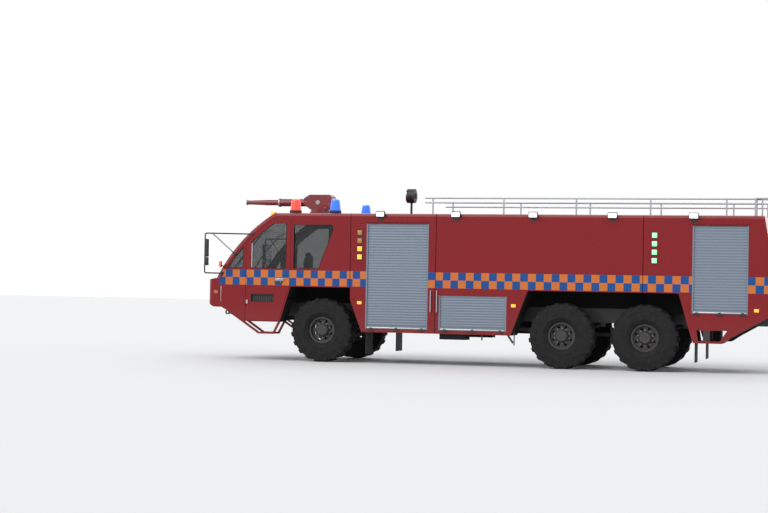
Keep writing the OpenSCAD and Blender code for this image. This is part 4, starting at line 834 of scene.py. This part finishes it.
# Searchlight: a clear lens in a chromed ring on the front of the drum, a finned back, and a
# forked yoke of steel strip on its post.
SEARCHLIGHT_Z, YOKE_X, YOKE_R = 3.615, 1.555, 0.170
bm = bmesh.new()
turn_profile(bm, [(0.0, 0.006), (0.060, 0.005), (0.115, 0.002), (0.140, 0.0), (0.140, -0.004),
                  (0.0, -0.004)], 48, closed=False)
bmesh.ops.remove_doubles(bm, verts=bm.verts, dist=0.0002)
put(bm, bm.verts, at(1.464, 0.0, SEARCHLIGHT_Z), math.pi / 2)
piece_from(bm, "searchlight_lens", clear_lens, "root")
bm = bmesh.new()
turn_profile(bm, [(0.138, 0.0), (0.138, 0.012), (0.147, 0.016), (0.154, 0.010), (0.154, 0.0)], 48)
put(bm, bm.verts, at(1.470, 0.0, SEARCHLIGHT_Z), math.pi / 2)
piece_from(bm, "searchlight_ring", chrome, "root")
bm = bmesh.new()
swept(bm, [at(YOKE_X, YOKE_R * math.cos(a), SEARCHLIGHT_Z + YOKE_R * math.sin(a))
           for a in (math.pi * (1 + i / 16) for i in range(17))], 0.009)
for y in (-0.165, 0.165):
    block(bm, (0.040, 0.026, 0.040), at(YOKE_X, y, SEARCHLIGHT_Z), 0.008, segments=2)
for i in range(6):
    block(bm, (0.030, 0.220, 0.004), at(1.654, 0.0, 3.565 + i * 0.020), 0.001)
piece_from(bm, "searchlight_yoke", black_plastic, "root")

# Cannon trim: a flange ring with hex bolts at the barrel's step, a steel nozzle lip, pivot caps
# on both cheeks, and bolts round the foot of the base.
CANNON_X, TILT_Z = -0.540, 3.460
FLANGE_AT, CHEEK_Y, FOOT_CIRCLE = 0.940, 0.171, 0.250
bm = bmesh.new()
for along, ring in ((FLANGE_AT, [(0.0855, -0.018), (0.098, -0.015), (0.098, 0.015), (0.0855, 0.018)]),
                    (0.300, [(0.0855, -0.014), (0.094, -0.010), (0.094, 0.010), (0.0855, 0.014)]),
                    (1.724, [(0.046, -0.020), (0.061, -0.018), (0.061, 0.002), (0.046, 0.004)])):
    start = len(bm.verts)
    turn_profile(bm, ring, 48)
    bm.verts.ensure_lookup_table()
    put(bm, bm.verts[start:], (0, along, 0))
for i in range(8):
    angle = (i + 0.5) * math.pi / 4
    stud(bm, (0.008, 0.008, 0.044), round_axle(0.0905, angle, FLANGE_AT), (0, -1, 0))
put(bm, bm.verts, at(CANNON_X, 0.0, TILT_Z), math.pi / 2)
piece_from(bm, "cannon_rings", nut_zinc, "cannon_barrel")
bm = bmesh.new()
for side in (-1, 1):
    for radius, deep in ((0.052, 0.008), (0.030, 0.018)):
        cap = at(CANNON_X, side * (CHEEK_Y + deep / 2), TILT_Z)
        stud(bm, (radius, radius * 0.94, deep), cap, (0, side, 0), 32)
    for dx, dz in ((-0.28, 0.02), (-0.22, 0.13), (0.25, 0.12), (0.26, -0.04), (0.16, -0.12)):
        centre = at(CANNON_X + dx, side * (CHEEK_Y + 0.003), TILT_Z + dz)
        stud(bm, (0.010, 0.009, 0.008), centre, (0, side, 0))
piece_from(bm, "cannon_cheek_bolts", nut_zinc, "cannon_turntable")
bm = bmesh.new()
for i in range(12):
    angle = (i + 0.5) * math.pi / 6
    x, y = CANNON_X + FOOT_CIRCLE * math.cos(angle), FOOT_CIRCLE * math.sin(angle)
    stud(bm, (0.011, 0.010, 0.010), at(x, y, ROOF_Z + 0.012))
stud(bm, (0.275, 0.272, 0.008), at(CANNON_X, 0, ROOF_Z + 0.0045), corners=64)
piece_from(bm, "cannon_foot_ring", nut_zinc, "root")

# Tail lamps: an upright black housing a side round three cells, amber over red over white,
# screwed to the rear face.
TAIL_LAMP_Y = 1.365
cells = (("amber", 1.700, amber_lens, "lamp_amber"), ("red", 1.540, red_lens, "lamp_red"),
         ("white", 1.380, clear_lens, "lamp_clear"))
for side_name, side in SIDES:
    for cell, z, mat, slot in cells:
        bm = bmesh.new()
        block(bm, (0.010, 0.118, 0.138), at(9.366, side * TAIL_LAMP_Y, z), 0.0045, segments=3)
        piece_from(bm, f"tail_lens_{cell}_{side_name}", mat, "root")
    bm = bmesh.new()
    for z in (1.297, 1.460, 1.620, 1.783):
        block(bm, (0.022, 0.164, 0.016), at(9.362, side * TAIL_LAMP_Y, z), 0.004, segments=2)
    for dy in (-0.078, 0.078):
        block(bm, (0.022, 0.016, 0.500), at(9.362, side * (TAIL_LAMP_Y + dy), 1.540), 0.004, segments=2)
    piece_from(bm, "tail_lamp_frame_" + side_name, black_plastic, "root")

# Engine lid furniture: two turning latches on its lower rail and a bar handle between them,
# of zinc-plated steel, bolted through the lid.
LATCH_Z = 1.370
bm = bmesh.new()
for y in (-0.420, 0.420):
    stud(bm, (0.028, 0.025, 0.012), at(9.346, y, LATCH_Z), (1, 0, 0), 24)
    block(bm, (0.014, 0.012, 0.050), at(9.358, y, LATCH_Z), 0.003, segments=2)
swept(bm, [at(x, y, LATCH_Z) for x, y in (
    (9.338, -0.11), (9.372, -0.11), (9.380, -0.10), (9.380, 0.10), (9.372, 0.11), (9.338, 0.11))], 0.008)
piece_from(bm, "lid_latches", nut_zinc, "engine_lid")

# Cab fittings: two ceiling lamps, an instrument hood in front of the driver with one screen
# beside it, moulded in black plastic, and grab bars beside the doors.
bm = bmesh.new()
for x in (-0.55, 0.20):
    block(bm, (0.100, 0.420, 0.014), at(x, 0.0, 3.082), 0.005, segments=2)
piece_from(bm, "ceiling_lamps", white_lens, "root")
bm = bmesh.new()
block(bm, (0.150, 0.520, 0.080), at(-2.060, 0.780, 1.822), 0.020, segments=3)
block(bm, (0.026, 0.340, 0.210), at(-1.985, 0.150, 1.860), 0.008,
      Matrix.Rotation(-0.25, 3, "Y"), segments=2)
for side in (-1, 1):
    for x in (-1.760, -0.640):
        swept(bm, [at(x, side * y, z) for y, z in (
            (1.428, 1.990), (1.390, 2.010), (1.390, 2.380), (1.428, 2.400))], 0.012)
piece_from(bm, "cab_fittings", black_plastic, "root")

# Studio: a matt pale floor, soft light from above and both sides, a white background, and the
# camera of the photograph.
floor_mat = bpy.data.materials.new("floor_pale")
floor_mat.use_nodes = True
feed(floor_mat.node_tree.nodes["Principled BSDF"], {"Base Color": (0.80, 0.80, 0.80, 1.0), "Roughness": 0.9})
bpy.ops.mesh.primitive_plane_add(size=400.0, location=(0, 0, 0))
floor = bpy.context.object
floor.name = "studio_floor"
floor.data.materials.append(floor_mat)

world = bpy.data.worlds.new("studio")
bpy.context.scene.world = world
world.use_nodes = True
tree = world.node_tree
soft = tree.nodes["Background"]
feed(soft, {"Color": (0.93, 0.96, 1.0, 1.0), "Strength": 0.55})
white = wire(tree, "ShaderNodeBackground", Color=(1.0, 1.0, 1.0, 1.0), Strength=1.0)
ray = tree.nodes.new("ShaderNodeLightPath")
seen = math_node(tree, "MAXIMUM", ray.outputs["Is Camera Ray"], ray.outputs["Is Transmission Ray"])
seen = math_node(tree, "MAXIMUM", seen, ray.outputs["Is Glossy Ray"])
choose = wire(tree, "ShaderNodeMixShader", i0=seen, i1=soft.outputs[0], i2=white.outputs[0])
feed(tree.nodes["World Output"], {"Surface": choose.outputs[0]})

for name, aim, width, power in (("key", (0.45, 0.75, -0.62), 50.0, 1.7),
                                ("fill", (-0.80, 0.45, -0.40), 70.0, 0.5),
                                ("back", (0.20, -0.85, -0.45), 70.0, 0.9)):
    light = bpy.data.lights.new(name, "SUN")
    light.angle = math.radians(width)
    light.energy = power
    lamp = bpy.data.objects.new(name, light)
    bpy.context.scene.collection.objects.link(lamp)
    lamp.rotation_euler = Vector(aim).to_track_quat("-Z", "Y").to_euler()

# The camera fitted to the photograph: angles in radians, focal length in pixels of its width
PHOTO_WIDTH, FOCAL_LENGTH, SENSOR = 768.0, 1720.0, 36.0
CAMERA_PLACE = (7.8657, -36.2337, 1.5010)
yaw, pitch, roll = -0.278549, 0.020862, 0.018694
ahead = Vector((math.sin(yaw) * math.cos(pitch), math.cos(yaw) * math.cos(pitch), math.sin(pitch)))
right = Vector((math.cos(yaw), -math.sin(yaw), 0.0))
above = right.cross(ahead)
right, above = (right * math.cos(roll) + above * math.sin(roll),
                above * math.cos(roll) - right * math.sin(roll))
camera = bpy.data.objects.new("camera", bpy.data.cameras.new("camera"))
bpy.context.scene.collection.objects.link(camera)
camera.data.sensor_width = SENSOR
camera.data.lens = SENSOR * FOCAL_LENGTH / PHOTO_WIDTH
camera.data.clip_end = 500.0
turn = Matrix((right, above, -ahead)).transposed()
camera.matrix_world = Matrix.Translation(CAMERA_PLACE) @ turn.to_4x4()
bpy.context.scene.camera = camera
bpy.context.scene.view_settings.view_transform = "Standard"
